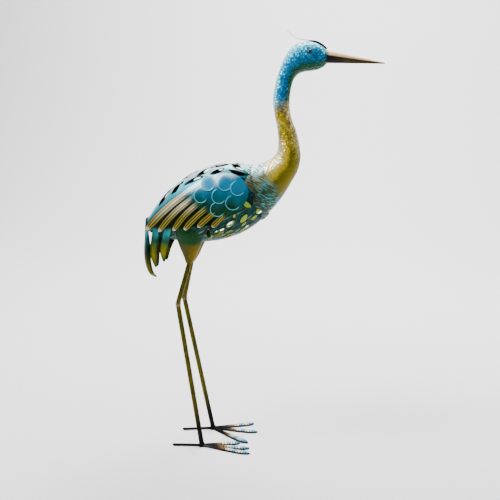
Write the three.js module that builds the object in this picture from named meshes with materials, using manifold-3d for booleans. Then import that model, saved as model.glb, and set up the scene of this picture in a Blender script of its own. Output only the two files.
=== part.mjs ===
// Metal crane garden statue: a painted sheet steel bird one metre tall that stands on its own feet.
// Millimetres. +X is the way the beak points, +Y the bird's left, +Z up, and the ground is z = 0.
// The dimensions put the bird's middle plane at y = 0. Its left foot reaches further out than its
// right one, so the finished statue is moved until the origin is under the middle of the whole.
import * as THREE from 'three';
import { mergeVertices } from 'three/addons/utils/BufferGeometryUtils.js';
import Module from 'manifold-3d';

const wasm = await Module();
wasm.setup();

const degrees = Math.PI / 180;
const sides = { right: -1, left: 1 };

const sheet = 1.2;
const seam = 0.3;

// The body is an egg on a tilted axis: length, half height and half width at its fullest,
// how blunt its ends are, how far its fullness sits forward, and how far its axis bows up.
// Its skin runs from the first ring at the tail to the open mouth that the neck covers.
const body = {
  rear: [-281.8, 535.3], tilt: 19 * degrees, length: 350, halfHeight: 87.3, halfWidth: 65,
  bluntness: 0.744, forward: 0.188, bow: 4.9, firstRing: 0.012, mouth: 0.915, rows: 12, around: 18,
};

// Openings cut through each side of the body. Each is a leaf between two ends, given as a
// fraction of the body's length and degrees down from the ridge of the back, then its width
// and how far its middle bows towards the head.
const cutOuts = [
  { from: [0.180, 34], to: [0.284, 8], width: 13, bow: 0 },
  { from: [0.300, 34], to: [0.366, 29], width: 9, bow: 0 },
  { from: [0.412, 34], to: [0.542, 35], width: 7, bow: -2 },
  { from: [0.392, 9], to: [0.505, 11], width: 7, bow: 1 },
  { from: [0.508, 28], to: [0.608, 20], width: 10, bow: 2 },
  { from: [0.606, 36], to: [0.688, 30], width: 7, bow: 1 },
  { from: [0.611, 16], to: [0.718, 10], width: 7, bow: -2 },
  { from: [0.746, 8], to: [0.842, 38], width: 8, bow: 3 },
  { from: [0.728, 33], to: [0.824, 47], width: 7, bow: 2 },
  { from: [0.768, 60], to: [0.818, 62], width: 10, bow: 1 },
  { from: [0.762, 97], to: [0.796, 113], width: 10, bow: 1 },
  { from: [0.812, 134], to: [0.872, 128], width: 15, bow: 1 },
  { from: [0.693, 133], to: [0.754, 124], width: 11, bow: 1 },
  { from: [0.594, 130], to: [0.663, 124], width: 9, bow: 1 },
  { from: [0.440, 147], to: [0.474, 124], width: 11, bow: 0 },
  { from: [0.464, 143], to: [0.560, 139], width: 7, bow: 2 },
  { from: [0.536, 156], to: [0.618, 152], width: 7, bow: 2 },
  { from: [0.652, 156], to: [0.732, 150], width: 8, bow: 2 },
];
const cutEnds = { from: 0.06, to: 0.94, fullness: 0.8, steps: 2 };
const cutDepth = { outside: 7, inside: 9 };

// Neck, breast and head in side view, from the collar to the root of the beak: the edge at the
// nape and crown, the edge at the breast and throat, and the width as a share of that depth.
const neck = {
  nape: [[-19.6, 695.2], [-1, 698.2], [17, 704.5], [33, 713.6], [43.2, 726], [46.4, 747],
    [43.6, 780], [37, 812], [33, 842], [37.2, 877], [47, 911], [60.5, 943], [80, 968],
    [105, 977], [132, 974], [148, 964.8], [155.9, 957.6]],
  throat: [[20.7, 578.4], [40.5, 600], [60, 626], [78, 656.5], [92, 683], [98.6, 716],
    [89.4, 770], [76.2, 806], [71.6, 840], [75.8, 876], [82, 894], [92, 904.5], [106, 909.6],
    [122, 911.4], [138, 915], [150.5, 922], [155.9, 928.2]],
  collarWidth: 0.775, neckWidth: 0.96, widensOver: 0.3, headFrom: 0.68, innerEnd: 0.985,
  rings: 18, around: 16,
};

// Pointed tongues round the collar, from the ridge downwards on each side: where each starts
// and ends in degrees, and how far it reaches back over the body.
const collar = {
  base: 0.862, root: 5, stand: 1.4, flare: 2, pointed: 1.3,
  tongues: [{ from: -45, to: 45, reach: 31 }, { from: 45, to: 90, reach: 16 },
    { from: 90, to: 135, reach: 12 }, { from: 135, to: 180, reach: 13 }],
};

// The beak is folded along a side crease: heights at its root and at its tip.
const beak = {
  root: { x: 155.9, top: 956.6, crease: 949.4, bottom: 928.6, halfWidth: 11.5 },
  tip: { x: 286.2, top: 929.4, crease: 928.2, bottom: 926.6, halfWidth: 1.2 },
};

const eye = { x: 119.9, y: 27.5, z: 952.5, radius: 6.2, segments: 12, rings: 6, headRings: 10 };

// The crest strip follows the crown up from the beak, lifts off and ends in a spike.
const crest = {
  path: [[155.6, 960.4], [144, 970.4], [129, 977], [113, 979.6], [100, 981], [90, 982.8],
    [79, 989.6], [65, 1000]],
  halfWidth: 7.6, rootShare: 0.55, opens: 3, rearShare: 0.4, pointed: 4, tipHalfWidth: 0.7,
  thickness: 2, tipThickness: 1.2, steps: 12,
};

// A wing is one pressed sheet that follows the body's side. It bulges from its centre and
// turns in towards the tail, and the tips of its feathers stand further off the body.
const wing = {
  centre: [-120, 610], reach: [100, 70], depth: 67.4, slope: [8.9, -6.6],
  curve: [-18.9, 12.7, -20.7], thickness: 1.6,
  shoulder: { centre: [-76, 630], halfLength: 62, halfHeight: 49, turn: 15 * degrees, swell: 1.5,
    around: 14 },
  featherRise: 3.2, ridgeOpens: 3, featherTipLift: 11, featherRoot: 0.72, featherTip: 0.8, featherEnd: 0.12,
  featherSteps: 4,
};
const feathers = [
  { root: [-112, 662], tip: [-271, 536], halfWidth: 10.5, bow: 8.5 },
  { root: [-112, 642], tip: [-235, 536], halfWidth: 9, bow: 8 },
  { root: [-104, 627], tip: [-195, 542.5], halfWidth: 8.8, bow: 7 },
  { root: [-90, 614], tip: [-166, 546.5], halfWidth: 8.8, bow: 3 },
  { root: [-76, 602], tip: [-131, 554.5], halfWidth: 8.6, bow: 1 },
  { root: [-62, 592], tip: [-97, 556], halfWidth: 7.6, bow: 0 },
];
const scales = {
  radius: 17.8, lift: 3.4, heel: 1.1, sides: 9, tiltTowards: 215 * degrees,
  centres: [[-84.4, 597.4], [-48.5, 613.5], [-81, 628.3], [-124.3, 628.7], [-37.8, 647.3],
    [-67.9, 658.1], [-108.5, 656.9]],
};

// Tail feathers hang from the rear of the body and draw together below it. Turn is the way each
// one faces, measured from straight back, and a spine goes from its root to its tip, with its
// middle coordinate measured away from the middle plane. A pair is made on both sides.
const tailCentre = { turn: 0, halfWidth: 15, gutter: 11,
  spine: [[-277, 0, 562], [-283.6, 0, 510], [-286, 0, 472], [-282.5, 0, 442], [-273, 0, 421],
    [-258, 0, 413]] };
const tailPairs = {
  rear: { turn: 60, halfWidth: 13, gutter: 5,
    spine: [[-243, 27, 556], [-255.5, 22, 510], [-262.5, 13, 470], [-256, 8, 439]] },
  front: { turn: 76, halfWidth: 11.5, gutter: 4,
    spine: [[-210, 40, 552], [-224, 32, 512], [-233.5, 19, 482], [-233, 12, 455.5]] },
};
const tailLeaf = { from: 0.2, to: 0.98, fullness: 0.6, bendsOver: 0.35, steps: 6 };

// Thigh sections from the leg up to under the wing: centre, height, half length and half width.
const thigh = {
  sections: [[-169.3, 11, 454, 7.8, 7.4], [-166.4, 13, 471, 15.6, 11], [-165.2, 17, 491, 23.4, 15],
    [-163.6, 22, 512, 30.6, 19], [-162.5, 29, 531, 34, 21.5], [-162, 34, 545, 34, 19]],
  around: 12,
};

// Leg tubes bend at the knee. Each point is [x, distance from the middle, z].
const leg = { radius: 6, hip: [-169.3, 11], knee: [-194.3, 31, 356], kneeRound: 9, around: 10 };
const ankle = { y: 54, top: 7, radius: 8.5, topShare: 0.8, around: 14 };

// Toes are leaf shapes with low sides and a ridge, flat underneath. Heading 0 is straight forward and a
// positive one turns to the bird's left, so the two feet differ as bent by hand.
const toe = {
  rootHalfWidth: 4.4, leafHalfWidth: 10.5, widest: 0.8, end: 0.06, height: 7, tipHeight: 5,
  edge: 0.45, rings: [0, 0.2, 0.4, 0.6, 0.8, 0.92, 1],
};
const backToe = {
  halfWidth: 3.4, height: 6.2, roundFrom: 0.9, end: 0.25, rings: [0, 0.5, 0.9, 0.96, 1],
  section: [[-0.7, 0], [-1, 0.35], [-0.7, 0.8], [0, 1], [0.7, 0.8], [1, 0.35], [0.7, 0]],
};
const feet = {
  right: { ankleX: -133, front: [{ heading: 20, length: 97 }, { heading: 2.3, length: 119.5 },
    { heading: -11, length: 128 }], back: { heading: 188, length: 73 } },
  left: { ankleX: -129.5, front: [{ heading: 26.5, length: 111.5 }, { heading: -1.1, length: 119 },
    { heading: -34.5, length: 128.5 }], back: { heading: 196, length: 79 } },
};

const paint = {
  blue: { color: 0x1787b5, roughness: 0.36, metalness: 0.55 },
  teal: { color: 0x11706b, roughness: 0.38, metalness: 0.55 },
  gold: { color: 0x8c7a1c, roughness: 0.4, metalness: 0.6 },
  olive: { color: 0x4f4716, roughness: 0.45, metalness: 0.6 },
  black: { color: 0x17150f, roughness: 0.5, metalness: 0.4 },
  horn: { color: 0xc08a58, roughness: 0.5, metalness: 0.25 },
  navy: { color: 0x0c2340, roughness: 0.25, metalness: 0.3 },
};

const statue = new THREE.Group();

function addPiece(name, geometry, finish) {
  const mesh = new THREE.Mesh(geometry, new THREE.MeshStandardMaterial(finish));
  mesh.name = name;
  statue.add(mesh);
}

// The faces of one closed surface over shared corners.
class Skin {
  corners = [];
  faces = [];

  ring(points) {
    const first = this.corners.length;
    this.corners.push(...points);
    return points.map((_, i) => first + i);
  }

  quad(a, b, c, d) {
    this.faces.push([a, b, c], [a, c, d]);
  }

  // Bands between neighbouring rings. A flipped skin faces inwards.
  loft(rings, flip) {
    for (let i = 0; i + 1 < rings.length; i++) {
      const [low, high] = [rings[i], rings[i + 1]];
      low.forEach((_, j) => {
        const k = (j + 1) % low.length;
        if (flip) this.quad(low[j], high[j], high[k], low[k]);
        else this.quad(low[j], low[k], high[k], high[j]);
      });
    }
  }

  // Closes one end of a loft with a fan round the middle of its last ring.
  cap(ring, atStart, flip) {
    const middle = new THREE.Vector3();
    ring.forEach((i) => middle.addScaledVector(this.corners[i], 1 / ring.length));
    const [hub] = this.ring([middle]);
    ring.forEach((a, j) => {
      const b = ring[(j + 1) % ring.length];
      this.faces.push(atStart !== Boolean(flip) ? [b, a, hub] : [a, b, hub]);
    });
  }

  // The rim between the outer and the inner end ring of a wall that is open there.
  rim(outer, inner, atStart) {
    outer.forEach((_, j) => {
      const k = (j + 1) % outer.length;
      if (atStart) this.quad(outer[k], outer[j], inner[j], inner[k]);
      else this.quad(outer[j], outer[k], inner[k], inner[j]);
    });
  }

  geometry() {
    let volume = 0;
    for (const [a, b, c] of this.faces) {
      const [p, q, r] = [this.corners[a], this.corners[b], this.corners[c]];
      volume += p.dot(new THREE.Vector3().crossVectors(q, r));
    }
    const faces = volume < 0 ? this.faces.map(([a, b, c]) => [a, c, b]) : this.faces;
    const geometry = new THREE.BufferGeometry();
    geometry.setAttribute('position', new THREE.Float32BufferAttribute(
      this.corners.flatMap((p) => [p.x, p.y, p.z]), 3));
    geometry.setIndex(faces.flat());
    return geometry;
  }
}

function solidLoft(rings) {
  const skin = new Skin();
  const numbered = rings.map((points) => skin.ring(points));
  skin.loft(numbered);
  skin.cap(numbered[0], true);
  skin.cap(numbered.at(-1), false);
  return skin.geometry();
}

// A wall between an outer and an inner loft, closed at one end and open at the other.
function hollowLoft(outerRings, innerRings, openAtStart) {
  const skin = new Skin();
  const outer = outerRings.map((points) => skin.ring(points));
  const inner = innerRings.map((points) => skin.ring(points));
  skin.loft(outer);
  skin.loft(inner, true);
  skin.cap(openAtStart ? outer.at(-1) : outer[0], !openAtStart);
  skin.cap(openAtStart ? inner.at(-1) : inner[0], !openAtStart, true);
  skin.rim(openAtStart ? outer[0] : outer.at(-1), openAtStart ? inner[0] : inner.at(-1), openAtStart);
  return skin.geometry();
}

function toSolid(geometry) {
  const bare = geometry.clone();
  bare.deleteAttribute('normal');
  bare.deleteAttribute('uv');
  const welded = mergeVertices(bare, 1e-4);
  return new wasm.Manifold(new wasm.Mesh({
    numProp: 3,
    vertProperties: new Float32Array(welded.attributes.position.array),
    triVerts: new Uint32Array(welded.index.array),
  }));
}

function toGeometry(solid) {
  const { numProp, vertProperties, triVerts } = solid.getMesh();
  const positions = [];
  for (let i = 0; i < vertProperties.length; i += numProp) {
    positions.push(vertProperties[i], vertProperties[i + 1], vertProperties[i + 2]);
  }
  const geometry = new THREE.BufferGeometry();
  geometry.setAttribute('position', new THREE.Float32BufferAttribute(positions, 3));
  geometry.setIndex([...triVerts]);
  return geometry;
}

const joined = (geometries) => geometries.map(toSolid).reduce((all, one) => all.add(one));
const mix = (a, b, share) => a + (b - a) * share;
const smooth = (x) => x * x * (3 - 2 * x);
const steps = (count) => Array.from({ length: count + 1 }, (_, i) => i / count);
const turns = (count) => Array.from({ length: count }, (_, i) => (i / count) * 2 * Math.PI);

// A point of the body's outside at a fraction of its length and an angle down from its ridge.
// Lift moves it outwards, square to the surface.
function bodySkin(along, angle) {
  const full = Math.pow(Math.max(4 * along * (1 - along), 0), body.bluntness)
    * (1 + body.forward * (2 * along - 1));
  const run = body.length * along;
  const rise = body.bow * Math.sin(Math.PI * along) + body.halfHeight * full * Math.cos(angle);
  return new THREE.Vector3(
    body.rear[0] + run * Math.cos(body.tilt) - rise * Math.sin(body.tilt),
    body.halfWidth * full * Math.sin(angle),
    body.rear[1] + run * Math.sin(body.tilt) + rise * Math.cos(body.tilt));
}

function bodyPoint(along, angle, lift) {
  const step = 1e-3;
  const here = bodySkin(along, angle);
  const forward = bodySkin(along + step, angle).sub(bodySkin(along - step, angle));
  const round = bodySkin(along, angle + step).sub(bodySkin(along, angle - step));
  return here.addScaledVector(forward.cross(round).normalize(), lift);
}

const bodyRows = steps(body.rows).map((s) => mix(body.firstRing, body.mouth, 1 - Math.cos(s * Math.PI / 2)));
const bodyRings = (lift) => bodyRows.map((along) => turns(body.around).map((angle) => (
  bodyPoint(along, angle, lift))));

// A bar through the body's wall with the outline of one leaf.
function leafCutter({ from, to, width, bow }, side) {
  const [start, end] = [from, to].map(([along, angle]) => [along, angle * degrees * side]);
  const middle = (start[0] + end[0]) / 2;
  const girth = bodySkin(middle, Math.PI / 2).distanceTo(bodySkin(middle, -Math.PI / 2)) / 2;
  const run = [(end[0] - start[0]) * body.length, (end[1] - start[1]) * girth];
  const length = Math.hypot(...run);
  const across = [-run[1] / length * side, run[0] / length * side];
  const rings = steps(cutEnds.steps).map((s) => {
    const half = 0.5 * width * Math.pow(Math.sin(Math.PI * mix(cutEnds.from, cutEnds.to, s)),
      cutEnds.fullness);
    return [[-1, 'outside'], [1, 'outside'], [1, 'inside'], [-1, 'inside']].map(([edge, face]) => {
      const off = bow * Math.sin(Math.PI * s) + edge * half;
      const lift = face === 'outside' ? cutDepth.outside : -cutDepth.inside;
      return bodyPoint(mix(start[0], end[0], s) + off * across[0] / body.length,
        mix(start[1], end[1], s) + off * across[1] / girth, lift);
    });
  });
  return solidLoft(rings);
}

function bodyShell() {
  let shell = toSolid(hollowLoft(bodyRings(0), bodyRings(-sheet), false));
  for (const side of Object.values(sides)) {
    for (const leaf of cutOuts) shell = shell.subtract(toSolid(leafCutter(leaf, side)));
  }
  return toGeometry(shell);
}

// What the body fills with its skin grown by the seam, for pieces that are fitted against it.
const bodyBlank = toSolid(solidLoft(bodyRings(seam + 0.1)));

const curve = (points) => new THREE.CatmullRomCurve3(
  points.map(([x, z]) => new THREE.Vector3(x, 0, z)), false, 'centripetal');
const napeCurve = curve(neck.nape);
const throatCurve = curve(neck.throat);

// One ring of the neck at a fraction of its length, with its skin moved outwards by grow.
function neckRing(along, grow) {
  const [nape, throat] = [napeCurve.getPoint(along), throatCurve.getPoint(along)];
  const centre = nape.clone().add(throat).multiplyScalar(0.5);
  const depth = nape.clone().sub(centre);
  const share = mix(neck.collarWidth, neck.neckWidth, smooth(Math.min(along / neck.widensOver, 1)));
  const width = depth.length() * share + grow;
  depth.setLength(depth.length() + grow);
  return turns(neck.around).map((angle) => centre.clone()
    .addScaledVector(depth, Math.cos(angle))
    .add(new THREE.Vector3(0, Math.sin(angle) * width, 0)));
}

function tongueReach(angle) {
  const down = Math.abs(((angle / degrees + 180) % 360) - 180);
  const tongue = collar.tongues.find(({ to }) => down <= to + 1e-6);
  const share = Math.abs((2 * (down - tongue.from)) / (tongue.to - tongue.from) - 1);
  return collar.root + tongue.reach * (1 - Math.pow(share, collar.pointed));
}

// A ring of the collar that lies over the body: share 1 is the tips of the tongues.
function collarRing(share, grow) {
  return turns(neck.around).map((angle) => {
    const stand = collar.stand + collar.flare * (1 - Math.cos(angle)) / 2;
    return bodyPoint(collar.base - share * tongueReach(angle) / body.length, angle,
      stand + sheet + grow);
  });
}

function neckAndHead() {
  const rings = (grow, last) => [collarRing(1, grow), collarRing(0.5, grow),
    ...steps(neck.rings).map((s) => neckRing(s * last, grow))];
  return hollowLoft(rings(0, 1), rings(-sheet, neck.innerEnd), true);
}

function beakCone() {
  const ring = ({ x, top, crease, bottom, halfWidth }, forward) => [
    new THREE.Vector3(x + forward, 0, top), new THREE.Vector3(x + forward, halfWidth, crease),
    new THREE.Vector3(x + forward, 0, bottom), new THREE.Vector3(x + forward, -halfWidth, crease)];
  return solidLoft([ring(beak.root, seam), ring(beak.tip, 0)]);
}

function eyeBead(side) {
  const bead = new THREE.SphereGeometry(eye.radius, eye.segments, eye.rings);
  bead.translate(eye.x, eye.y * side, eye.z);
  const head = solidLoft(steps(eye.headRings).map((s) => (
    neckRing(mix(neck.headFrom, 1, s), seam))));
  return toGeometry(toSolid(bead).subtract(toSolid(head)));
}

function crestPlume() {
  const path = curve(crest.path);
  return solidLoft(steps(crest.steps).map((s) => {
    const centre = path.getPoint(s);
    const tangent = path.getTangent(s);
    const up = new THREE.Vector3(tangent.z, 0, -tangent.x).multiplyScalar(
      mix(crest.thickness, crest.tipThickness, s) / 2);
    const spread = Math.min(1, crest.rootShare + crest.opens * s)
      * mix(1, crest.rearShare, smooth(s)) * (1 - s ** crest.pointed);
    const width = Math.max(crest.halfWidth * spread, crest.tipHalfWidth);
    return [[1, 1], [1, -1], [-1, -1], [-1, 1]].map(([y, z]) => centre.clone()
      .addScaledVector(up, z).add(new THREE.Vector3(0, y * width, 0)));
  }));
}

// A point of the wing sheet over [x, z], lifted away from the body.
function wingPoint([x, z], lift, side) {
  const u = (x - wing.centre[0]) / wing.reach[0];
  const v = (z - wing.centre[1]) / wing.reach[1];
  const y = wing.depth + wing.slope[0] * u + wing.slope[1] * v
    + wing.curve[0] * u * u + wing.curve[1] * u * v + wing.curve[2] * v * v;
  return new THREE.Vector3(x, side * (y + lift), z);
}

// One long feather with a round ridge, narrow at its root and blunt at its tip.
function wingFeather({ root, tip, halfWidth, bow }, side) {
  const run = [tip[0] - root[0], tip[1] - root[1]];
  const length = Math.hypot(...run);
  const across = [-run[1] / length, run[0] / length];
  return solidLoft(steps(wing.featherSteps).map((s) => {
    const past = (s - wing.featherTip) / (1 - wing.featherTip);
    const width = halfWidth * (past < 0 ? mix(wing.featherRoot, 1, s / wing.featherTip)
      : Math.sqrt(Math.max(1 - past ** 2, wing.featherEnd)));
    const lift = wing.featherTipLift * s ** 3;
    const arch = -bow * Math.sin(Math.PI * s);
    const ridge = wing.thickness + wing.featherRise * Math.min(1, wing.ridgeOpens * s);
    return [[-1, 0], [-1, wing.thickness], [0, ridge],
      [1, wing.thickness], [1, 0]].map(([edge, height]) => wingPoint(
      [mix(root[0], tip[0], s) + (edge * width + arch) * across[0],
        mix(root[1], tip[1], s) + (edge * width + arch) * across[1]], lift + height, side));
  }));
}

// The shoulder plate that carries the scales: an oval with a soft crown.
function wingShoulder(side) {
  const { centre, halfLength, halfHeight, turn, swell, around } = wing.shoulder;
  const ring = (share, height) => turns(around).map((angle) => {
    const [a, b] = [share * halfLength * Math.cos(angle), share * halfHeight * Math.sin(angle)];
    return wingPoint([centre[0] + a * Math.cos(turn) - b * Math.sin(turn),
      centre[1] + a * Math.sin(turn) + b * Math.cos(turn)], height, side);
  });
  return solidLoft([ring(0.5, 0), ring(1, 0), ring(1, wing.thickness),
    ring(0.5, wing.thickness + swell)]);
}

// A round scale that lies on the shoulder and lifts at its lower rear edge.
function wingScale(centre, side) {
  const ring = (share, bottom) => turns(scales.sides).map((angle) => {
    const lifted = 0.5 + 0.5 * share * Math.cos(angle - scales.tiltTowards);
    return wingPoint([centre[0] + share * scales.radius * Math.cos(angle),
      centre[1] + share * scales.radius * Math.sin(angle)],
    bottom ? wing.thickness * 0.5 : wing.thickness + mix(scales.heel, scales.lift, lifted), side);
  });
  return solidLoft([ring(1, true), ring(1, false)]);
}

function wingSheet(side) {
  const pieces = [wingShoulder(side), ...feathers.map((feather) => wingFeather(feather, side)),
    ...scales.centres.map((centre) => wingScale(centre, side))];
  return toGeometry(joined(pieces));
}

// A hanging leaf of sheet, round across like a gutter that opens towards the body.
function tailFeather({ turn, halfWidth, gutter, spine }, sign) {
  const out = new THREE.Vector3(-Math.cos(turn * degrees), sign * Math.sin(turn * degrees), 0);
  const across = new THREE.Vector3(-out.y, out.x, 0);
  const path = new THREE.CatmullRomCurve3(
    spine.map(([x, y, z]) => new THREE.Vector3(x, y * sign, z)), false, 'centripetal');
  const leaf = solidLoft(steps(tailLeaf.steps).map((s) => {
    const share = Math.pow(Math.sin(Math.PI * mix(tailLeaf.from, tailLeaf.to, s)), tailLeaf.fullness);
    const bend = gutter * smooth(Math.min(1, s / tailLeaf.bendsOver)) * share;
    const at = path.getPoint(s);
    return [[-1, 0], [-0.5, 0], [0, 0], [0.5, 0], [1, 0], [1, -sheet], [0, -sheet], [-1, -sheet]]
      .map(([edge, depth]) => at.clone().addScaledVector(across, edge * halfWidth * share)
        .addScaledVector(out, depth - bend * edge * edge));
  }));
  return toGeometry(toSolid(leaf).subtract(bodyBlank));
}

function thighCone(side) {
  const rings = thigh.sections.map(([x, y, z, halfLength, halfWidth]) => (
    turns(thigh.around).map((angle) => new THREE.Vector3(
      x + halfLength * Math.cos(angle), side * y + halfWidth * Math.sin(angle), z))));
  return toGeometry(toSolid(solidLoft(rings)).subtract(bodyBlank));
}

function legTube(name) {
  const side = sides[name];
  const [hipX, hipY] = leg.hip;
  const [kneeX, kneeY, kneeZ] = leg.knee;
  const hip = new THREE.Vector3(hipX, side * hipY, thigh.sections[0][2] - seam);
  const knee = new THREE.Vector3(kneeX, side * kneeY, kneeZ);
  const foot = new THREE.Vector3(feet[name].ankleX, side * ankle.y, ankle.top + seam);
  const bend = leg.kneeRound / hip.distanceTo(knee);
  const lowBend = leg.kneeRound / foot.distanceTo(knee);
  const centres = [hip, knee.clone().lerp(hip, bend),
    knee.clone().lerp(hip, bend / 2).lerp(foot, lowBend / 2), knee.clone().lerp(foot, lowBend), foot];
  return solidLoft(centres.map((centre) => turns(leg.around).map((angle) => new THREE.Vector3(
    centre.x + leg.radius * Math.cos(angle), centre.y + leg.radius * Math.sin(angle), centre.z))));
}

// A front toe: a leaf with a ridge along it, narrow by the ankle and widest near its end.
function frontToe({ heading, length }, start) {
  const along = new THREE.Vector3(Math.cos(heading * degrees), Math.sin(heading * degrees), 0);
  const across = new THREE.Vector3(-along.y, along.x, 0);
  return solidLoft(toe.rings.map((s) => {
    const past = Math.max(s - toe.widest, 0) / (1 - toe.widest);
    const width = mix(toe.rootHalfWidth, toe.leafHalfWidth, smooth(Math.min(s / toe.widest, 1)))
      * Math.sqrt(Math.max(1 - past ** 2, toe.end));
    const height = mix(toe.height, toe.tipHeight, s);
    return [[-1, 0], [-1, toe.edge], [0, 1], [1, toe.edge], [1, 0]].map(([edge, rise]) => (
      start.clone().addScaledVector(along, s * length).addScaledVector(across, edge * width)
        .add(new THREE.Vector3(0, 0, rise * height))));
  }));
}

// The back toe: a plain bar with a rounded end.
function backToeBar({ heading, length }, start) {
  const along = new THREE.Vector3(Math.cos(heading * degrees), Math.sin(heading * degrees), 0);
  const across = new THREE.Vector3(-along.y, along.x, 0);
  return solidLoft(backToe.rings.map((s) => {
    const past = Math.max(s - backToe.roundFrom, 0) / (1 - backToe.roundFrom);
    const share = Math.sqrt(Math.max(1 - past ** 2, backToe.end));
    return backToe.section.map(([edge, rise]) => start.clone().addScaledVector(along, s * length)
      .addScaledVector(across, edge * share * backToe.halfWidth)
      .add(new THREE.Vector3(0, 0, rise * backToe.height * (1 + share) / 2)));
  }));
}

function foot(name) {
  const { ankleX, front, back } = feet[name];
  const start = new THREE.Vector3(ankleX, sides[name] * ankle.y, 0);
  const hub = new THREE.CylinderGeometry(ankle.radius * ankle.topShare, ankle.radius, ankle.top,
    ankle.around);
  hub.rotateX(Math.PI / 2).translate(start.x, start.y, ankle.top / 2);
  return toGeometry(joined([hub, ...front.map((one) => frontToe(one, start)),
    backToeBar(back, start)]));
}

addPiece('body_shell', bodyShell(), paint.blue);
addPiece('neck_and_head', neckAndHead(), paint.gold);
addPiece('beak', beakCone(), paint.horn);
addPiece('crest_plume', crestPlume(), paint.navy);
for (const [name, side] of Object.entries(sides)) {
  addPiece(`eye_${name}`, eyeBead(side), paint.navy);
  addPiece(`wing_${name}`, wingSheet(side), paint.blue);
  addPiece(`thigh_${name}`, thighCone(side), paint.teal);
  addPiece(`leg_${name}`, legTube(name), paint.olive);
  addPiece(`foot_${name}`, foot(name), paint.black);
}
addPiece('tail_feather_centre', tailFeather(tailCentre, sides.left), paint.gold);
for (const [place, feather] of Object.entries(tailPairs)) {
  for (const [name, side] of Object.entries(sides)) {
    addPiece(`tail_feather_${name}_${place}`, tailFeather(feather, side), paint.gold);
  }
}

const bounds = new THREE.Box3().setFromObject(statue);
const middle = bounds.getCenter(new THREE.Vector3());
for (const { geometry } of statue.children) geometry.translate(-middle.x, -middle.y, -bounds.min.z);

export default statue;
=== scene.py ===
"""The finished look of a metal crane garden statue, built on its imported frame.

Shapes are worked out in millimetres with the bird's middle plane at y = 0, as whole numpy
arrays, and moved into the row's frame in metres when a piece is made.
"""

import logging
import math
from collections.abc import Sequence
from dataclasses import dataclass, field, replace
from enum import Enum

import bpy
import numpy as np
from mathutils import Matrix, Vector


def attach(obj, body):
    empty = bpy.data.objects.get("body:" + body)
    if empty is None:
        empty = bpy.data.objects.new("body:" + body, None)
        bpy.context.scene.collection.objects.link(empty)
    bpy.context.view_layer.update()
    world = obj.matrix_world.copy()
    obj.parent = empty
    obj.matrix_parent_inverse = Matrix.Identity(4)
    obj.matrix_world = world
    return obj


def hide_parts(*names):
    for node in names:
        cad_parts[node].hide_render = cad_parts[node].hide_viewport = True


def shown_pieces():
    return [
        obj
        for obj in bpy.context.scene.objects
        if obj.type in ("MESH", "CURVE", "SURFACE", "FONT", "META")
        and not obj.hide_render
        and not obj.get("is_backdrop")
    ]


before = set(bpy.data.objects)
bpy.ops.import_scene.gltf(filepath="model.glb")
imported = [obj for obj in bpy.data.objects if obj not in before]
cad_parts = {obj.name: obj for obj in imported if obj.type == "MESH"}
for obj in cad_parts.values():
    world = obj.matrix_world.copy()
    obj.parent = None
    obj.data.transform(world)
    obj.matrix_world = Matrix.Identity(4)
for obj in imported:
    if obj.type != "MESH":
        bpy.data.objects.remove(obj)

LOG = logging.getLogger("crane")
METRES = 0.001
BIRD_ORIGIN = np.array([-0.197, -11.287, 0.0])
SHEET = 1.2
ACROSS = np.array([0.0, 1.0, 0.0])

Array = np.ndarray
Colour = tuple[float, float, float]
Place = tuple[float, float, float]


class Side(Enum):
    """Which side of the bird a piece is on."""

    RIGHT = -1
    LEFT = 1

    @property
    def word(self) -> str:
        """The side's name as the nodes spell it."""
        return self.name.lower()


def paint(red: int, green: int, blue: int) -> Colour:
    """Turn a paint colour as seen on a screen, 0 to 255, into linear light by the power 2.2."""
    return ((red / 255) ** 2.2, (green / 255) ** 2.2, (blue / 255) ** 2.2)


# Numbers and points


def smooth(share: Array) -> Array:
    """Ease a share in and out: 3 s squared less 2 s cubed, with s held between 0 and 1."""
    held = np.clip(share, 0.0, 1.0)
    return held * held * (3 - 2 * held)


def bell(distance: Array, width: float) -> Array:
    """A bump 1 high: e to the power of less the square of the distance over the width."""
    return np.exp(-((distance / width) ** 2))


def rounded(share: Array, start: float, least: float) -> Array:
    """A round end: 1 up to the start, then a quarter circle down to the root of the least."""
    past = np.maximum(share - start, 0) / (1 - start)
    return np.sqrt(np.maximum(1 - past**2, least))


def shares(count: int, first: float = 0.0, last: float = 1.0) -> Array:
    """Even steps from first to last, as a column."""
    return np.linspace(first, last, count)[:, None]


def angles(count: int) -> Array:
    """Even angles once round, in radians, as a row."""
    return np.linspace(0, 2 * np.pi, count, endpoint=False)[None, :]


def places(x: Array | float, y: Array | float, z: Array | float) -> Array:
    """Points from their coordinates, each spread over the whole grid."""
    return np.stack(np.broadcast_arrays(x, y, z), axis=-1)


def unit(vectors: Array) -> Array:
    """The same directions with length 1."""
    return vectors / np.maximum(np.linalg.norm(vectors, axis=-1, keepdims=True), 1e-12)


def normals(points: Array, wrap: bool, towards: Array) -> Array:
    """Find the directions square to a grid: the steps to the neighbours, crossed.

    Args:
        points: Points as rows, columns and coordinates.
        wrap: Whether the last column joins the first.
        towards: Which way they look half way down the grid, in its first column where it
            wraps and in its middle one where it doesn't.

    Returns:
        One unit vector a point.
    """
    ahead = np.gradient(points, axis=0)
    beside = np.gradient(points, axis=1)
    if wrap:
        beside = np.roll(points, -1, axis=1) - np.roll(points, 1, axis=1)
    square = unit(np.cross(ahead, beside))
    column = 0 if wrap else points.shape[1] // 2
    return square * np.sign(np.sum(square[len(points) // 2, column] * towards))


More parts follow.
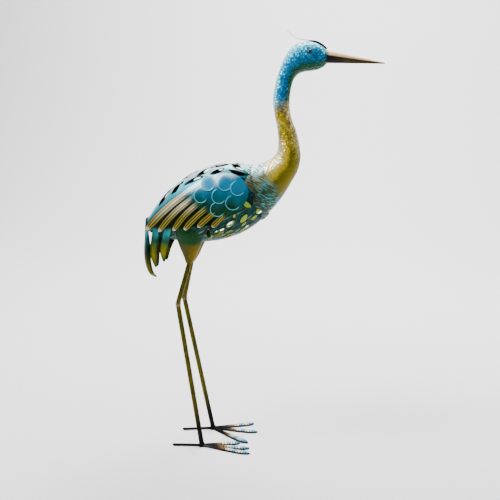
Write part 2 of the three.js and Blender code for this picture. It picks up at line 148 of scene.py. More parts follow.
def curve(points: Sequence[tuple[float, ...]], along: Array) -> Array:
    """Follow a smooth curve that passes through every given point.

    Between two points it is a cubic whose slopes come from the neighbours, each span weighed
    by the square root of its length.

    Args:
        points: The points to pass through.
        along: How far along, 0 to 1, counted evenly from point to point.

    Returns:
        One point for each place along it.
    """
    given = np.array(points, float)
    knots = np.vstack([2 * given[0] - given[1], given, 2 * given[-1] - given[-2]])
    place = np.clip(along, 0, 1) * (len(given) - 1)
    span = np.minimum(place.astype(int), len(given) - 2)
    part = (place - span)[..., None]
    p0, p1, p2, p3 = (knots[span + i] for i in range(4))
    d0, d1, d2 = (
        np.maximum(np.linalg.norm(b - a, axis=-1, keepdims=True) ** 0.5, 1e-6)
        for a, b in ((p0, p1), (p1, p2), (p2, p3))
    )
    slope1 = ((p1 - p0) / d0 - (p2 - p0) / (d0 + d1) + (p2 - p1) / d1) * d1
    slope2 = ((p2 - p1) / d1 - (p3 - p1) / (d1 + d2) + (p3 - p2) / d2) * d1
    third = 2 * p1 - 2 * p2 + slope1 + slope2
    second = -3 * p1 + 3 * p2 - 2 * slope1 - slope2
    return p1 + part * (slope1 + part * (second + part * third))


@dataclass
class Surface:
    """Part of a piece: points in millimetres, faces, and marks that the paint reads."""

    points: Array
    faces: list[Array]
    marks: dict[str, Array] = field(default_factory=dict)
    coat: list[int] = field(default_factory=list)

    def __post_init__(self) -> None:
        """Give every group of faces the first paint where none is said."""
        self.coat = self.coat or [0] * len(self.faces)

    @classmethod
    def grid(cls, points: Array, wrap: bool, marks: dict[str, Array] | None = None) -> "Surface":
        """Make a surface of squares over a grid of points.

        Args:
            points: Points as rows, columns and coordinates.
            wrap: Whether the last column joins the first.
            marks: Numbers on the same rows and columns, or on one row or column for all.

        Returns:
            The surface.
        """
        rows, columns = points.shape[:2]
        number = np.arange(rows * columns).reshape(rows, columns)
        nearby = np.roll(number, -1, axis=1) if wrap else number[:, 1:]
        own = number if wrap else number[:, :-1]
        squares = np.stack([own[:-1], nearby[:-1], nearby[1:], own[1:]], axis=-1).reshape(-1, 4)
        flat = {name: np.broadcast_to(mark, (rows, columns)).ravel().copy()
                for name, mark in (marks or {}).items()}
        return cls(points.reshape(-1, 3), [squares], flat)

    @classmethod
    def tube(cls, points: Array, marks: dict[str, Array] | None = None) -> "Surface":
        """Make a closed skin from rings of points, with a flat face over each end.

        Args:
            points: Rings as rows, columns and coordinates.
            marks: Numbers on the same rows and columns, or on one row or column for all.

        Returns:
            The skin, its faces outwards.
        """
        skin = cls.grid(points, True, marks)
        rows, columns = points.shape[:2]
        ends = np.stack([np.arange(columns)[::-1], (rows - 1) * columns + np.arange(columns)])
        return cls(skin.points, [*skin.faces, ends], skin.marks).outward()

    def volume(self) -> float:
        """Work out the volume inside the faces, cut into tetrahedra from the origin.

        Returns:
            The volume, negative where the faces look inwards.
        """
        total = 0.0
        for group in self.faces:
            first = self.points[group[:, 0]]
            for i in range(1, group.shape[1] - 1):
                normal = np.cross(self.points[group[:, i]], self.points[group[:, i + 1]])
                total += float(np.sum(first * normal))
        return total / 6

    def flipped(self) -> "Surface":
        """Turn every face over."""
        return replace(self, faces=[group[:, ::-1] for group in self.faces])

    def outward(self) -> "Surface":
        """Turn a surface so that its faces look outwards."""
        return self if self.volume() > 0 else self.flipped()

    def mirrored(self, side: Side) -> "Surface":
        """Put a surface made for the left on the side asked for."""
        right = replace(self, points=self.points * [1, -1, 1]).flipped()
        return self if side is Side.LEFT else right

    def thickened(self, directions: Array, lining: int = 0) -> "Surface":
        """Give an open sheet a back and closed edges.

        Args:
            directions: The unit vectors out of the front, on the sheet's rows and columns.
            lining: Which of the piece's paints the back takes.

        Returns:
            The closed sheet, with its edges in the front's paint.
        """
        count = len(self.points)
        starts = np.concatenate([group.ravel() for group in self.faces])
        ends = np.concatenate([np.roll(group, -1, axis=1).ravel() for group in self.faces])
        rim = ~np.isin(starts * count + ends, ends * count + starts)
        a, b = starts[rim], ends[rim]
        edges = np.stack([b, a, a + count, b + count], axis=1)
        backs = [group[:, ::-1] + count for group in self.faces]
        marks = {name: np.concatenate([mark, mark]) for name, mark in self.marks.items()}
        return Surface(
            np.vstack([self.points, self.points - directions.reshape(-1, 3) * SHEET]),
            [*self.faces, *backs, edges], marks, [*self.coat, *[lining] * len(backs), 0])

    def tidy(self) -> "Surface":
        """Leave out the points that no face uses.

        Returns:
            The same surface with fewer points.
        """
        used = np.unique(np.concatenate([group.ravel() for group in self.faces]))
        number = np.full(len(self.points), -1)
        number[used] = np.arange(len(used))
        return Surface(self.points[used], [number[group] for group in self.faces],
                       {name: mark[used] for name, mark in self.marks.items()}, self.coat)


def joined(parts: list[Surface]) -> Surface:
    """Put several surfaces into one piece.

    Args:
        parts: The surfaces.

    Returns:
        All of them, with 0 for any mark that one of them lacks.
    """
    names = {name for part in parts for name in part.marks}
    starts = np.cumsum([0, *[len(part.points) for part in parts]])
    return Surface(
        np.vstack([part.points for part in parts]),
        [group + start for part, start in zip(parts, starts) for group in part.faces],
        {name: np.concatenate([part.marks.get(name, np.zeros(len(part.points))) for part in parts])
         for name in names},
        [number for part in parts for number in part.coat])


def placed(name: str, data: bpy.types.ID) -> bpy.types.Object:
    """Put an object with this data into the scene.

    Args:
        name: The object's name.
        data: Its mesh, lamp or camera.

    Returns:
        The object, at the origin.
    """
    thing = bpy.data.objects.new(name, data)
    bpy.context.scene.collection.objects.link(thing)
    return thing


def make_piece(name: str, surface: Surface, paints: list[bpy.types.Material], nodes: list[str],
               crease: float = 40.0) -> None:
    """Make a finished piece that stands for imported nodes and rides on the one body.

    Args:
        name: The piece's name.
        surface: Its shape.
        paints: Its paints, the main one first.
        nodes: The nodes it replaces.
        crease: Edges sharper than this many degrees stay crisp.
    """
    surface = surface.tidy()
    mesh = bpy.data.meshes.new(name)
    polygons = [face for group in surface.faces for face in group.tolist()]
    mesh.from_pydata(((surface.points + BIRD_ORIGIN) * METRES).tolist(), [], polygons)
    for mark, values in surface.marks.items():
        layer = mesh.attributes.new(mark, "FLOAT", "POINT")
        layer.data.foreach_set("value", values.astype(np.float32))
    coats = np.repeat(surface.coat, [len(group) for group in surface.faces])
    mesh.polygons.foreach_set("material_index", coats.astype(np.int32))
    for material in paints:
        mesh.materials.append(material)
    mesh.shade_smooth()
    mesh.set_sharp_from_angle(angle=math.radians(crease))
    mesh.update()
    piece = placed(name, mesh)
    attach(piece, "root")
    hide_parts(*nodes)


# Paint. The two numbers of between() are where a layer starts and where it is whole, and the
# one after it is the layer's strength.


class Value:
    """A number or colour on its way through a paint's nodes, with ordinary arithmetic."""

    def __init__(self, graph: "Graph", socket: bpy.types.NodeSocket) -> None:
        """Wrap an output of one of the graph's nodes."""
        self.graph = graph
        self.socket = socket

    def _with(self, operation: str, other: "Value | float", swapped: bool = False) -> "Value":
        """Add the Math node of an operation on this value and another."""
        pair = (other, self) if swapped else (self, other)
        return self.graph.node("ShaderNodeMath", {"operation": operation}, {0: pair[0], 1: pair[1]})

    def __add__(self, other: "Value | float") -> "Value":
        """This plus the other."""
        return self._with("ADD", other)

    def __radd__(self, other: float) -> "Value":
        """A number plus this."""
        return self._with("ADD", other, True)

    def __sub__(self, other: "Value | float") -> "Value":
        """This less the other."""
        return self._with("SUBTRACT", other)

    def __rsub__(self, other: float) -> "Value":
        """A number less this."""
        return self._with("SUBTRACT", other, True)

    def __mul__(self, other: "Value | float") -> "Value":
        """This times the other."""
        return self._with("MULTIPLY", other)

    def __rmul__(self, other: float) -> "Value":
        """A number times this."""
        return self._with("MULTIPLY", other, True)

    def sine(self) -> "Value":
        """The sine of the value in radians."""
        return self.graph.node("ShaderNodeMath", {"operation": "SINE"}, {0: self})

    def sway(self, size: float) -> "Value":
        """A cloud's swing about 0: the value less a half, times a size."""
        return (self - 0.5) * size

    def between(self, low: float, high: float) -> "Value":
        """Ease from 0 at low to 1 at high. Low may be the larger of the two."""
        return self.graph.node("ShaderNodeMapRange", {"interpolation_type": "SMOOTHSTEP"},
                               {"Value": self, "From Min": low, "From Max": high})


class Graph:
    """One material and the nodes that make its look."""

    def __init__(self, name: str) -> None:
        """Start a material with no nodes but the object's coordinates.

        Args:
            name: The material's name.
        """
        self.material = bpy.data.materials.new(name)
        self.material.use_nodes = True
        self.tree = self.material.node_tree
        self.tree.nodes.clear()
        self.place = self.node("ShaderNodeTexCoord", output="Object")

    def node(self, kind: str, settings: dict[str, object] | None = None,
             inputs: dict[str | int, object] | None = None, output: str | int = 0) -> Value:
        """Add a node.

        Args:
            kind: Blender's name for the node.
            settings: Its own properties.
            inputs: What goes into its sockets, values or constants.
            output: Which of its outputs to hand back.

        Returns:
            That output.
        """
        made = self.tree.nodes.new(kind)
        for name, setting in (settings or {}).items():
            setattr(made, name, setting)
        for key, value in (inputs or {}).items():
            socket = made.inputs[key]
            if isinstance(value, Value):
                self.tree.links.new(value.socket, socket)
            elif isinstance(value, tuple) and socket.type == "RGBA":
                socket.default_value = (*value, 1.0)
            else:
                socket.default_value = value
        return Value(self, made.outputs[output])

    def mark(self, name: str) -> Value:
        """Read a mark that the shape carries."""
        return self.node("ShaderNodeAttribute", {"attribute_name": name}, output="Fac")

    def height(self) -> Value:
        """How far up the statue a point is, in metres."""
        return self.node("ShaderNodeSeparateXYZ", inputs={0: self.place}, output="Z")

    def forward(self) -> Value:
        """How far towards the beak a point is, in metres."""
        return self.node("ShaderNodeSeparateXYZ", inputs={0: self.place}, output="X")

    def stretched(self, scale: tuple[float, float, float], turn: float = 0.0) -> Value:
        """Object coordinates turned about the cross axis, in degrees, then scaled."""
        turned = self.node("ShaderNodeMapping", inputs={
            "Vector": self.place, "Rotation": (0.0, math.radians(turn), 0.0)})
        return self.node("ShaderNodeMapping", inputs={"Vector": turned, "Scale": scale})

    def noise(self, scale: float, detail: float = 2.0, where: Value | None = None) -> Value:
        """Soft random cloud, about 0 to 1, so many to the metre."""
        return self.node("ShaderNodeTexNoise", inputs={
            "Vector": where or self.place, "Scale": scale, "Detail": detail})

    def cells(self, scale: float) -> Value:
        """Distance from the nearest of many scattered points, which reads as hammer marks."""
        return self.node("ShaderNodeTexVoronoi", {"feature": "SMOOTH_F1"}, {
            "Vector": self.place, "Scale": scale, "Smoothness": 0.35})

    def ramp(self, share: Value, stops: list[tuple[float, Colour]]) -> Value:
        """Pass from colour to colour as a share grows.

        Args:
            share: The share.
            stops: At which share each colour stands, in order.

        Returns:
            The colour.
        """
        made = self.node("ShaderNodeValToRGB", inputs={"Fac": share})
        ramp = made.socket.node.color_ramp
        ramp.interpolation = "EASE"
        while len(ramp.elements) < len(stops):
            ramp.elements.new(1.0)
        for element, (position, colour) in zip(ramp.elements, stops):
            element.position = position
            element.color = (*colour, 1.0)
        return made

    def blend(self, share: Value, first: Value | Colour, second: Value | Colour) -> Value:
        """Mix two colours, all of the first at 0 and all of the second at 1."""
        return self.node("ShaderNodeMix", {"data_type": "RGBA"},
                         {0: share, 6: first, 7: second}, output=2)

    def layered(self, base: Value | Colour, *layers: tuple[Value, Value | Colour]) -> Value:
        """Lay colours over a base, one on another.

        Args:
            base: What lies underneath.
            layers: How much of the surface each layer takes, and its colour, the lowest first.

        Returns:
            The colour that shows.
        """
        for share, colour in layers:
            base = self.blend(share, base, colour)
        return base

    def finish(self, colour: Value | Colour, rough: Value | float, metal: float,
               bump: Value | None = None, bump_depth: float = 0.0008,
               coat: float = 0.04, shine: float = 0.2) -> bpy.types.Material:
        """End the paint.

        Args:
            colour: The base colour.
            rough: How dull it is.
            metal: How metallic it is.
            bump: Relief, where 1 is bump_depth metres up.
            bump_depth: Depth of that relief.
            coat: How strong the clear lacquer is.
            shine: How mirror-like the paint is where it isn't metallic.

        Returns:
            The finished material.
        """
        inputs = {"Base Color": colour, "Roughness": rough, "Metallic": metal,
                  "Coat Weight": coat, "Coat Roughness": 0.2,
                  "Specular IOR Level": shine, "Specular Tint": (0.7, 0.7, 0.7)}
        if bump is not None:
            inputs["Normal"] = self.node("ShaderNodeBump", inputs={
                "Height": bump, "Distance": bump_depth, "Strength": 1.0})
        shader = self.node("ShaderNodeBsdfPrincipled", inputs=inputs)
        end = self.tree.nodes.new("ShaderNodeOutputMaterial")
        self.tree.links.new(shader.socket, end.inputs["Surface"])
        return self.material


@dataclass(frozen=True)
class BackPaint:
    """Painted highlight over the back, teal down the flanks, green-gold strokes on the belly, and
    painted shade and a painted glint round the openings.
    """

    pearl: Colour = paint(190, 228, 234)
    sky: Colour = paint(50, 160, 178)
    teal: Colour = paint(0, 92, 104)
    deep: Colour = paint(0, 56, 54)
    belly: Colour = paint(0, 58, 34)
    fleck_and_glint: Colour = paint(206, 226, 130)
    black: Colour = paint(0, 8, 8)

    def make(self) -> bpy.types.Material:
        """Make the material.

        Returns:
            The finished material.
        """
        g = Graph("back_paint")
        down, rim = g.mark("down"), g.mark("rim")
        cloud = g.noise(26.0, 3.0)
        # Pearl and sky towards the ridge are painted highlight; teal, deep teal and green follow down
        # the flanks.
        base = g.ramp(down + cloud.sway(0.14), [
            (0.0, self.pearl), (0.12, self.pearl), (0.22, self.sky), (0.32, self.teal),
            (0.56, self.deep), (0.8, self.deep), (1.0, self.belly)])
        strands = g.noise(1.0, 2.0, g.stretched((30.0, 70.0, 260.0), 32.0))
        light = strands.between(0.6, 0.66) * down.between(0.52, 0.7)
        dark = strands.between(0.46, 0.4) * down.between(0.36, 0.5)
        colour = g.layered(
            base,
            (dark * 0.85, self.black),
            (light * 0.2, self.fleck_and_glint),
            # Black round the openings is painted shade, standing in for the dark inside seen at their
            # edges.
            (rim.between(0.35, 0.7) * down.between(0.45, 0.3) * 0.95, self.black),
            (rim.between(0.2, 0.7) * down.between(0.45, 0.6) * 0.7, self.black),
            # The lime ring at the belly's opening edges is a painted highlight.
            (rim.between(0.9, 0.99) * down.between(0.5, 0.64) * 0.25, self.fleck_and_glint))
        return g.finish(colour, 0.36 + cloud * 0.16, 0.6, light * 0.5 - dark * 0.6 + cloud * 0.3)


@dataclass(frozen=True)
class LiningShadeAndLight:
    """The inside of the shell: near black under the back as painted shade, bright yellow-green in the
    belly as painted light coming through the openings.
    """

    dark: Colour = paint(2, 3, 4)
    gold: Colour = paint(222, 255, 104)

    def make(self) -> bpy.types.Material:
        """Make the material.

        Returns:
            The finished material.
        """
        g = Graph("lining_shade_and_light")
        share = g.mark("down").between(0.36, 0.6) * g.forward().between(-0.16, -0.06)
        # Dark is painted shade inside the back; yellow-green is painted light where the belly's
        # openings let it through.
        colour = g.blend(share, self.dark, self.gold)
        return g.finish(colour, 0.6 + g.noise(60.0) * 0.2, 0.0, coat=0.0)


@dataclass(frozen=True)
class NeckPaint:
    """Hammered sheet: speckled gold from the breast up, blue on the upper neck and head, with painted
    highlight on the nape side and painted shade at the throat.

    The change is how many metres up the gold turns blue.
    """

    cyan: Colour = paint(70, 200, 226)
    blue: Colour = paint(0, 136, 184)
    deep_blue: Colour = paint(0, 92, 138)
    teal: Colour = paint(0, 60, 38)
    ice: Colour = paint(176, 244, 250)
    gold: Colour = paint(186, 160, 40)
    straw: Colour = paint(196, 172, 66)
    lilac_rim_light: Colour = paint(206, 186, 140)
    olive: Colour = paint(92, 84, 0)
    cream: Colour = paint(250, 236, 176)
    brown: Colour = paint(54, 38, 10)
    pine: Colour = paint(0, 70, 62)
    night: Colour = paint(0, 22, 20)
    change: float = 0.834

    def cold(self, g: Graph, share: Value, head: Value, dent: Value) -> Value:
        """Mix the blue of the upper neck and head, with its painted highlight and painted shade.

        Args:
            g: The paint's graph.
            share: How far round to the front a point is.
            head: How far into the head it is.
            dent: The hammer marks.

        Returns:
            The colour.
        """
        flank = share.between(0.1, 0.35) * share.between(0.86, 0.66)
        # Round the neck, ice and cyan on the nape are painted highlight and teal at the throat is
        # painted shade; the head's underside is pushed further into that shade.
        base = g.ramp(share + head * (0.04 + share.between(0.6, 0.85) * 0.16), [
            (0.0, self.ice), (0.1, self.ice), (0.24, self.cyan), (0.42, self.blue),
            (0.74, self.deep_blue), (0.94, self.teal), (1.0, self.teal)])
        return g.layered(
            base,
            (dent.between(0.25, 0.5) * flank * 0.4, self.deep_blue),
            (g.noise(70.0, 2.0).between(0.48, 0.6) * flank * 0.55, self.deep_blue),
            # Teal low on the head's sides is painted shade; cyan over the crown is a painted highlight.
            (head * share.between(0.35, 0.65) * 0.3, self.teal),
            (head * share.between(0.3, 0.05) * 0.4, self.cyan),
            (dent.between(0.3, 0.1) * share.between(0.7, 0.4) * 0.3, self.cyan))

    def warm(self, g: Graph, share: Value, cloud: Value, dent: Value) -> Value:
        """Mix the gold of the breast and the lower neck, speckled brown in the hammer marks, with
        painted highlight and painted shade.

        Args:
            g: The paint's graph.
            share: How far round to the front a point is.
            cloud: The paint's soft cloud.
            dent: The hammer marks.

        Returns:
            The colour.
        """
        z = g.height()
        high = g.layered(
            # Cream on the nape side is a painted highlight and lilac at the front a painted reflection
            # of a lamp on the right.
            g.ramp(share, [
                (0.0, self.cream), (0.08, self.cream), (0.24, self.gold), (0.5, self.gold),
                (0.75, self.straw), (1.0, self.lilac_rim_light)]),
            (dent.between(0.2, 0.5) * 0.55, self.olive),
            (g.noise(90.0, 2.0).between(0.56, 0.66) * 0.6, self.brown))
        # Below, cream on the nape side is a painted highlight and olive at the front is painted shade.
        low = g.ramp(share, [
            (0.0, self.cream), (0.22, self.cream), (0.42, self.gold), (0.66, self.olive),
            (1.0, self.olive)])
        speckle = dent.between(0.46, 0.16) * g.noise(55.0, 2.0).between(0.42, 0.58)
        return g.layered(
            low,
            ((z + cloud * 0.04).between(0.72, 0.8), high),
            (speckle * z.between(0.66, 0.74) * 0.7, self.brown))

    def make(self) -> bpy.types.Material:
        """Make the material, with the collar's tongues feathered in dark and light wisps.

        Returns:
            The finished material.
        """
        g = Graph("neck_paint")
        z, front, tongue = g.height(), g.mark("front"), g.mark("tongue")
        dent = g.cells(165.0)
        cloud = g.noise(40.0, 3.0)
        share = front + cloud.sway(0.25) + (dent - 0.4) * 0.12
        wisps = g.noise(1.0, 3.0, g.stretched((70.0, 70.0, 420.0), -28.0))
        light, dark = wisps.between(0.52, 0.6), wisps.between(0.46, 0.4)
        # Ice on the tongues' nape side is a painted highlight over the dark pine.
        feathered = g.layered(
            self.ice,
            (front.between(0.12, 0.3), self.pine),
            (light * 0.4, g.blend(front.between(0.2, 0.5), self.ice, self.cyan)),
            (dark * 0.85, self.night))
        shift = z + cloud.sway(0.035) + (dent - 0.4) * 0.02 - front * 0.012
        colour = g.layered(
            self.warm(g, share, cloud, dent),
            (tongue.between(0.0, 0.6) * (0.75 + light * 0.25), feathered),
            (tongue.between(0.05, 0.4) * dark * 0.5, self.brown),
            (tongue.between(0.985, 1.0) * 0.5, self.brown),
            (shift.between(self.change - 0.024, self.change + 0.016),
             self.cold(g, share, z.between(0.87, 0.91), dent)))
        bump = dent * z.between(0.64, 0.76) * 1.2 + wisps * tongue * 0.6 + cloud * 0.15
        return g.finish(colour, 0.34 + cloud * 0.12, 0.6, bump, 0.0026)


@dataclass(frozen=True)
class WingPaint:
    """Blue scales on a teal shoulder, and feathers that turn from teal to gold-brown, with painted
    highlights and painted shade between the feathers.
    """

    blue: Colour = paint(0, 116, 154)
    teal: Colour = paint(0, 80, 86)
    green: Colour = paint(0, 54, 34)
    pearl: Colour = paint(196, 236, 246)
    cyan: Colour = paint(98, 206, 226)
    violet_sheen: Colour = paint(92, 122, 140)
    gold: Colour = paint(122, 112, 24)
    brown: Colour = paint(54, 50, 0)
    cream: Colour = paint(250, 240, 206)
    valley_shade: Colour = paint(0, 24, 8)

    def make(self) -> bpy.types.Material:
        """Make the material: the plate, the feathers, and the change from one to the other.

        Returns:
            The finished material.
        """
        g = Graph("wing_paint")
        run, ridge, rim, scale, line = (g.mark(n) for n in ("run", "ridge", "rim", "scale", "line"))
        x, z = g.forward(), g.height()
        cloud = g.noise(34.0, 3.0)
        level = z + cloud.sway(0.04)
        rear = (z + x * -0.35 + cloud.sway(0.03)).between(0.676, 0.7)
        plate = g.layered(
            self.green,
            (level.between(0.595, 0.625), self.teal),
            (level.between(0.615, 0.66), self.blue),
            # Violet on the scales is a painted sheen, pearl over the upper rear a painted highlight,
            # and cyan on the scales' rims a painted highlight.
            (scale * cloud.between(0.5, 0.75) * 0.12, self.violet_sheen),
            (rear * (1.0 - scale) * 0.85, self.pearl),
            (rim.between(0.2, 0.9) * 0.75, self.cyan))
        # Cream along the feathers' lines, over the upper feathers and at their tips is painted
        # highlight; the dark valley at their edges is painted shade.
        up = (z + x * -0.25).between(0.615, 0.66)
        warm = g.layered(
            self.brown,
            (line.between(0.1, 0.7), self.gold),
            (line.between(0.5, 0.95) * (0.06 + up * 0.9), self.cream),
            (up * 0.3, self.cream))
        feather = g.blend(ridge.between(0.04, 0.4), self.valley_shade, warm)
        change = run + cloud.sway(0.3) - up * 0.04
        colour = g.layered(
            plate,
            (change.between(0.18, 0.42), feather),
            (run.between(0.93, 0.99) * 0.5, self.cream))
        return g.finish(colour, 0.42 + cloud * 0.14, 0.6, g.noise(140.0, 2.0), 0.0004)


@dataclass(frozen=True)
class TailPaint:
    """Blue-teal at the root, olive gold below, dark at the tip, with fine lines along it and painted
    shade towards the leaf's edges.
    """

    blue: Colour = paint(30, 140, 142)
    teal: Colour = paint(0, 66, 54)
    olive: Colour = paint(74, 86, 0)
    gold: Colour = paint(112, 106, 6)
    dark: Colour = paint(24, 20, 0)

    def make(self) -> bpy.types.Material:
        """Make the material.

        Returns:
            The finished material.
        """
        g = Graph("tail_paint")
        run, ridge = g.mark("run"), g.mark("ridge")
        cloud = g.noise(50.0, 3.0)
        along = g.ramp(run + cloud.sway(0.16), [
            (0.0, self.teal), (0.16, self.blue), (0.36, self.teal), (0.5, self.olive),
            (0.72, self.gold), (0.88, self.olive), (1.0, self.dark)])
        veins = (ridge * 24.0).sine().between(0.2, 1.0)
        # Darkening towards each leaf's edges, where it curls in, is painted shade.
        colour = g.layered(along, (ridge.between(0.4, 0.0) * 0.8, self.dark), (veins * 0.25, self.dark))
        return g.finish(colour, 0.34 + cloud * 0.16, 0.65, veins * 0.7 + cloud * 0.3, 0.0006)


@dataclass(frozen=True)
class ThighPaint:
    """Green-teal where the thigh leaves the body, olive gold below."""

    teal: Colour = paint(0, 50, 20)
    olive: Colour = paint(58, 56, 0)
    gold: Colour = paint(96, 82, 0)
    dark: Colour = paint(30, 26, 0)

    def make(self) -> bpy.types.Material:
        """Make the material.

        Returns:
            The finished material.
        """
        g = Graph("thigh_paint")
        cloud = g.noise(36.0, 3.0)
        colour = g.layered(
            self.olive,
            (g.forward().between(-0.185, -0.145), self.gold),
            (cloud.between(0.55, 0.3) * 0.45, self.dark),
            ((g.height() + cloud.sway(0.03)).between(0.488, 0.514), self.teal))
        return g.finish(colour, 0.36 + cloud * 0.14, 0.65, g.noise(120.0, 2.0), 0.0005)


@dataclass(frozen=True)
class LegPaint:
    """Dark olive bronze tube, black near the ground, with a pinkish painted highlight on the weld at
    the knee.
    """

    bronze: Colour = paint(80, 74, 10)
    shade: Colour = paint(36, 32, 2)
    black: Colour = paint(4, 4, 3)
    weld: Colour = paint(150, 116, 96)

    def make(self) -> bpy.types.Material:
        """Make the material.

        Returns:
            The finished material.
        """
        g = Graph("leg_paint")
        cloud = g.noise(46.0, 4.0)
        streak = g.noise(1.0, 3.0, g.stretched((300.0, 300.0, 24.0)))
        colour = g.layered(
            self.shade,
            (streak.between(0.25, 0.6), self.bronze),
            ((g.height() + cloud * 0.05).between(0.15, 0.07), self.black),
            # The pinkish colour on the knee's weld bead is a painted highlight.
            (g.mark("weld") * cloud.between(0.3, 0.6), self.weld))
        return g.finish(colour, 0.4 + cloud * 0.2, 0.6, streak * 0.6 + cloud * 0.4, 0.0005)


@dataclass(frozen=True)
class ToePaint:
    """Black sides as painted shade; on top black by the ankle, brown and then cream as a painted
    reflection further out, blue at the end.
    """

    black: Colour = paint(4, 4, 4)
    brown: Colour = paint(96, 70, 38)
    cream: Colour = paint(224, 214, 176)
    blue: Colour = paint(20, 140, 190)
    navy: Colour = paint(0, 60, 104)

    def make(self) -> bpy.types.Material:
        """Make the material.

        Returns:
            The finished material.
        """
        g = Graph("toe_paint")
        cloud = g.noise(90.0, 3.0)
        # Cream on the toes' tops is a painted reflection of the bright surroundings.
        along = g.ramp(g.mark("run") + cloud.sway(0.12), [
            (0.0, self.black), (0.32, self.black), (0.46, self.brown), (0.58, self.cream),
            (0.7, self.blue), (0.79, self.cream), (0.88, self.blue), (1.0, self.navy)])
        colour = g.layered(
            along,
            # Black in the notches and down the toes' sides is painted shade.
            (g.mark("notch").between(0.05, 0.35) * 0.95, self.black),
            (g.mark("ridge").between(0.62, 0.48), self.black))
        return g.finish(colour, 0.36 + cloud * 0.2, 0.4, cloud, 0.0004)


@dataclass(frozen=True)
class BeakPaint:
    """Tan on the upper folds, painted pale as a highlight; dark brown under the crease as painted
    shade.
    """

    tan: Colour = paint(250, 206, 156)
    brown: Colour = paint(50, 42, 0)
    dark: Colour = paint(10, 8, 0)

    def make(self) -> bpy.types.Material:
        """Make the material.

        Returns:
            The finished material.
        """
        g = Graph("beak_paint")
        run = g.mark("run")
        cloud = g.noise(1.0, 3.0, g.stretched((50.0, 300.0, 300.0)))
        low = g.layered(
            self.dark,
            ((run + cloud.sway(0.5)).between(0.1, 0.4), self.brown),
            (run.between(0.6, 1.0) * 0.8, self.dark))
        colour = g.layered(
            self.tan,
            (cloud.between(0.6, 0.3) * 0.25, self.brown),
            (run.between(0.06, 0.0) * 0.5, self.dark),
            # The folds under the crease take the dark brown as painted shade.
            (g.mark("under"), low))
        return g.finish(colour, 0.48 + cloud * 0.15, 0.1, cloud, 0.0004)


@dataclass(frozen=True)
class PlainPaint:
    """One paint with a little unevenness, for the crest and the eyes."""

    name: str
    colour: Colour
    worn: Colour
    rough: float
    shine: float

    def make(self) -> bpy.types.Material:
        """Make the material.

        Returns:
            The finished material.
        """
        g = Graph(self.name)
        cloud = g.noise(90.0, 3.0)
        colour = g.blend(cloud.between(0.62, 0.8), self.colour, self.worn)
        return g.finish(colour, self.rough + cloud * 0.06, 0.0, cloud, 0.0002, 0.0, self.shine)


CREST_PAINT = PlainPaint("crest_paint", paint(0, 14, 40), paint(0, 40, 70), 0.8, 0.02)
EYE_PAINT = PlainPaint("eye_gloss", paint(0, 26, 56), paint(0, 34, 70), 0.05, 0.5)


# Body


def down_from_ridge(angle: Array) -> Array:
    """The angle down from the body's ridge on either side, 0 to half a turn."""
    return np.abs((angle + np.pi) % (2 * np.pi) - np.pi)


@dataclass(frozen=True)
class Egg:
    """The body's egg on its tilted axis."""

    rear: tuple[float, float] = (-281.8, 535.3)
    tilt: float = math.radians(19)
    length: float = 350.0
    half_height: float = 87.3
    half_width: float = 65.0
    bluntness: float = 0.744
    forward: float = 0.188
    bow: float = 4.9

    def full(self, along: Array) -> Array:
        """How full the egg is: (4 t (1 - t)) to the bluntness, weighed towards the head."""
        swell = np.maximum(4 * along * (1 - along), 0) ** self.bluntness
        return swell * (1 + self.forward * (2 * along - 1))

    def point(self, along: Array, angle: Array) -> Array:
        """Find the skin: oval rings across an axis that bows up by half a sine.

        Args:
            along: Fractions of the egg's length.
            angle: Radians down from its ridge.

        Returns:
            The points.
        """
        full = self.full(along)
        run = self.length * along
        rise = self.bow * np.sin(np.pi * along) + self.half_height * full * np.cos(angle)
        return places(
            self.rear[0] + run * math.cos(self.tilt) - rise * math.sin(self.tilt),
            self.half_width * full * np.sin(angle),
            self.rear[1] + run * math.sin(self.tilt) + rise * math.cos(self.tilt))

    def out(self, along: Array, angle: Array) -> Array:
        """Find the directions out of the skin: small steps along it and round it, crossed.

        Args:
            along: Fractions of the egg's length.
            angle: Radians down from its ridge.

        Returns:
            The unit vectors.
        """
        step = 1e-4
        ahead = self.point(along + step, angle) - self.point(along - step, angle)
        beside = self.point(along, angle + step) - self.point(along, angle - step)
        return unit(np.cross(ahead, beside))

    def lifted(self, along: Array, angle: Array, lift: Array) -> Array:
        """Points that far off the skin."""
        return self.point(along, angle) + self.out(along, angle) * lift[..., None]


EGG = Egg()


@dataclass(frozen=True)
class Leaf:
    """A leaf-shaped opening between two places on the body.

    Places are a fraction of the body's length and degrees down from its ridge. The bow is how
    far its middle leans aside, which is down for a leaf that runs straight ahead.
    """

    start: tuple[float, float]
    end: tuple[float, float]
    width: float
    bow: float = 0.0
    blunt: float = 0.03
    fullness: float = 0.8

    def inside(self, along: Array, down: Array) -> Array:
        """Find how far inside the leaf places are.

        The half width follows a sine from end to end to the power of the fullness, and the
        result is that less the distance from the bowed middle line.

        Args:
            along: Fractions of the body's length.
            down: Radians down from its ridge.

        Returns:
            Millimetres inside, negative outside.
        """
        girth = EGG.half_width * EGG.full(np.array((self.start[0] + self.end[0]) / 2))
        first = math.radians(self.start[1])
        run = (self.end[0] - self.start[0]) * EGG.length
        fall = (math.radians(self.end[1]) - first) * girth
        length = math.hypot(run, fall)
        a, b = (along - self.start[0]) * EGG.length, (down - first) * girth
        share = (a * run + b * fall) / length**2
        off = (b * run - a * fall) / length
        held = np.clip(share, 0, 1)
        part = self.blunt + (1 - 2 * self.blunt) * held
        half = self.width / 2 * np.sin(np.pi * part) ** self.fullness
        beyond = np.abs(share - held) * length
        return half - np.hypot(off - self.bow * np.sin(np.pi * held), beyond)


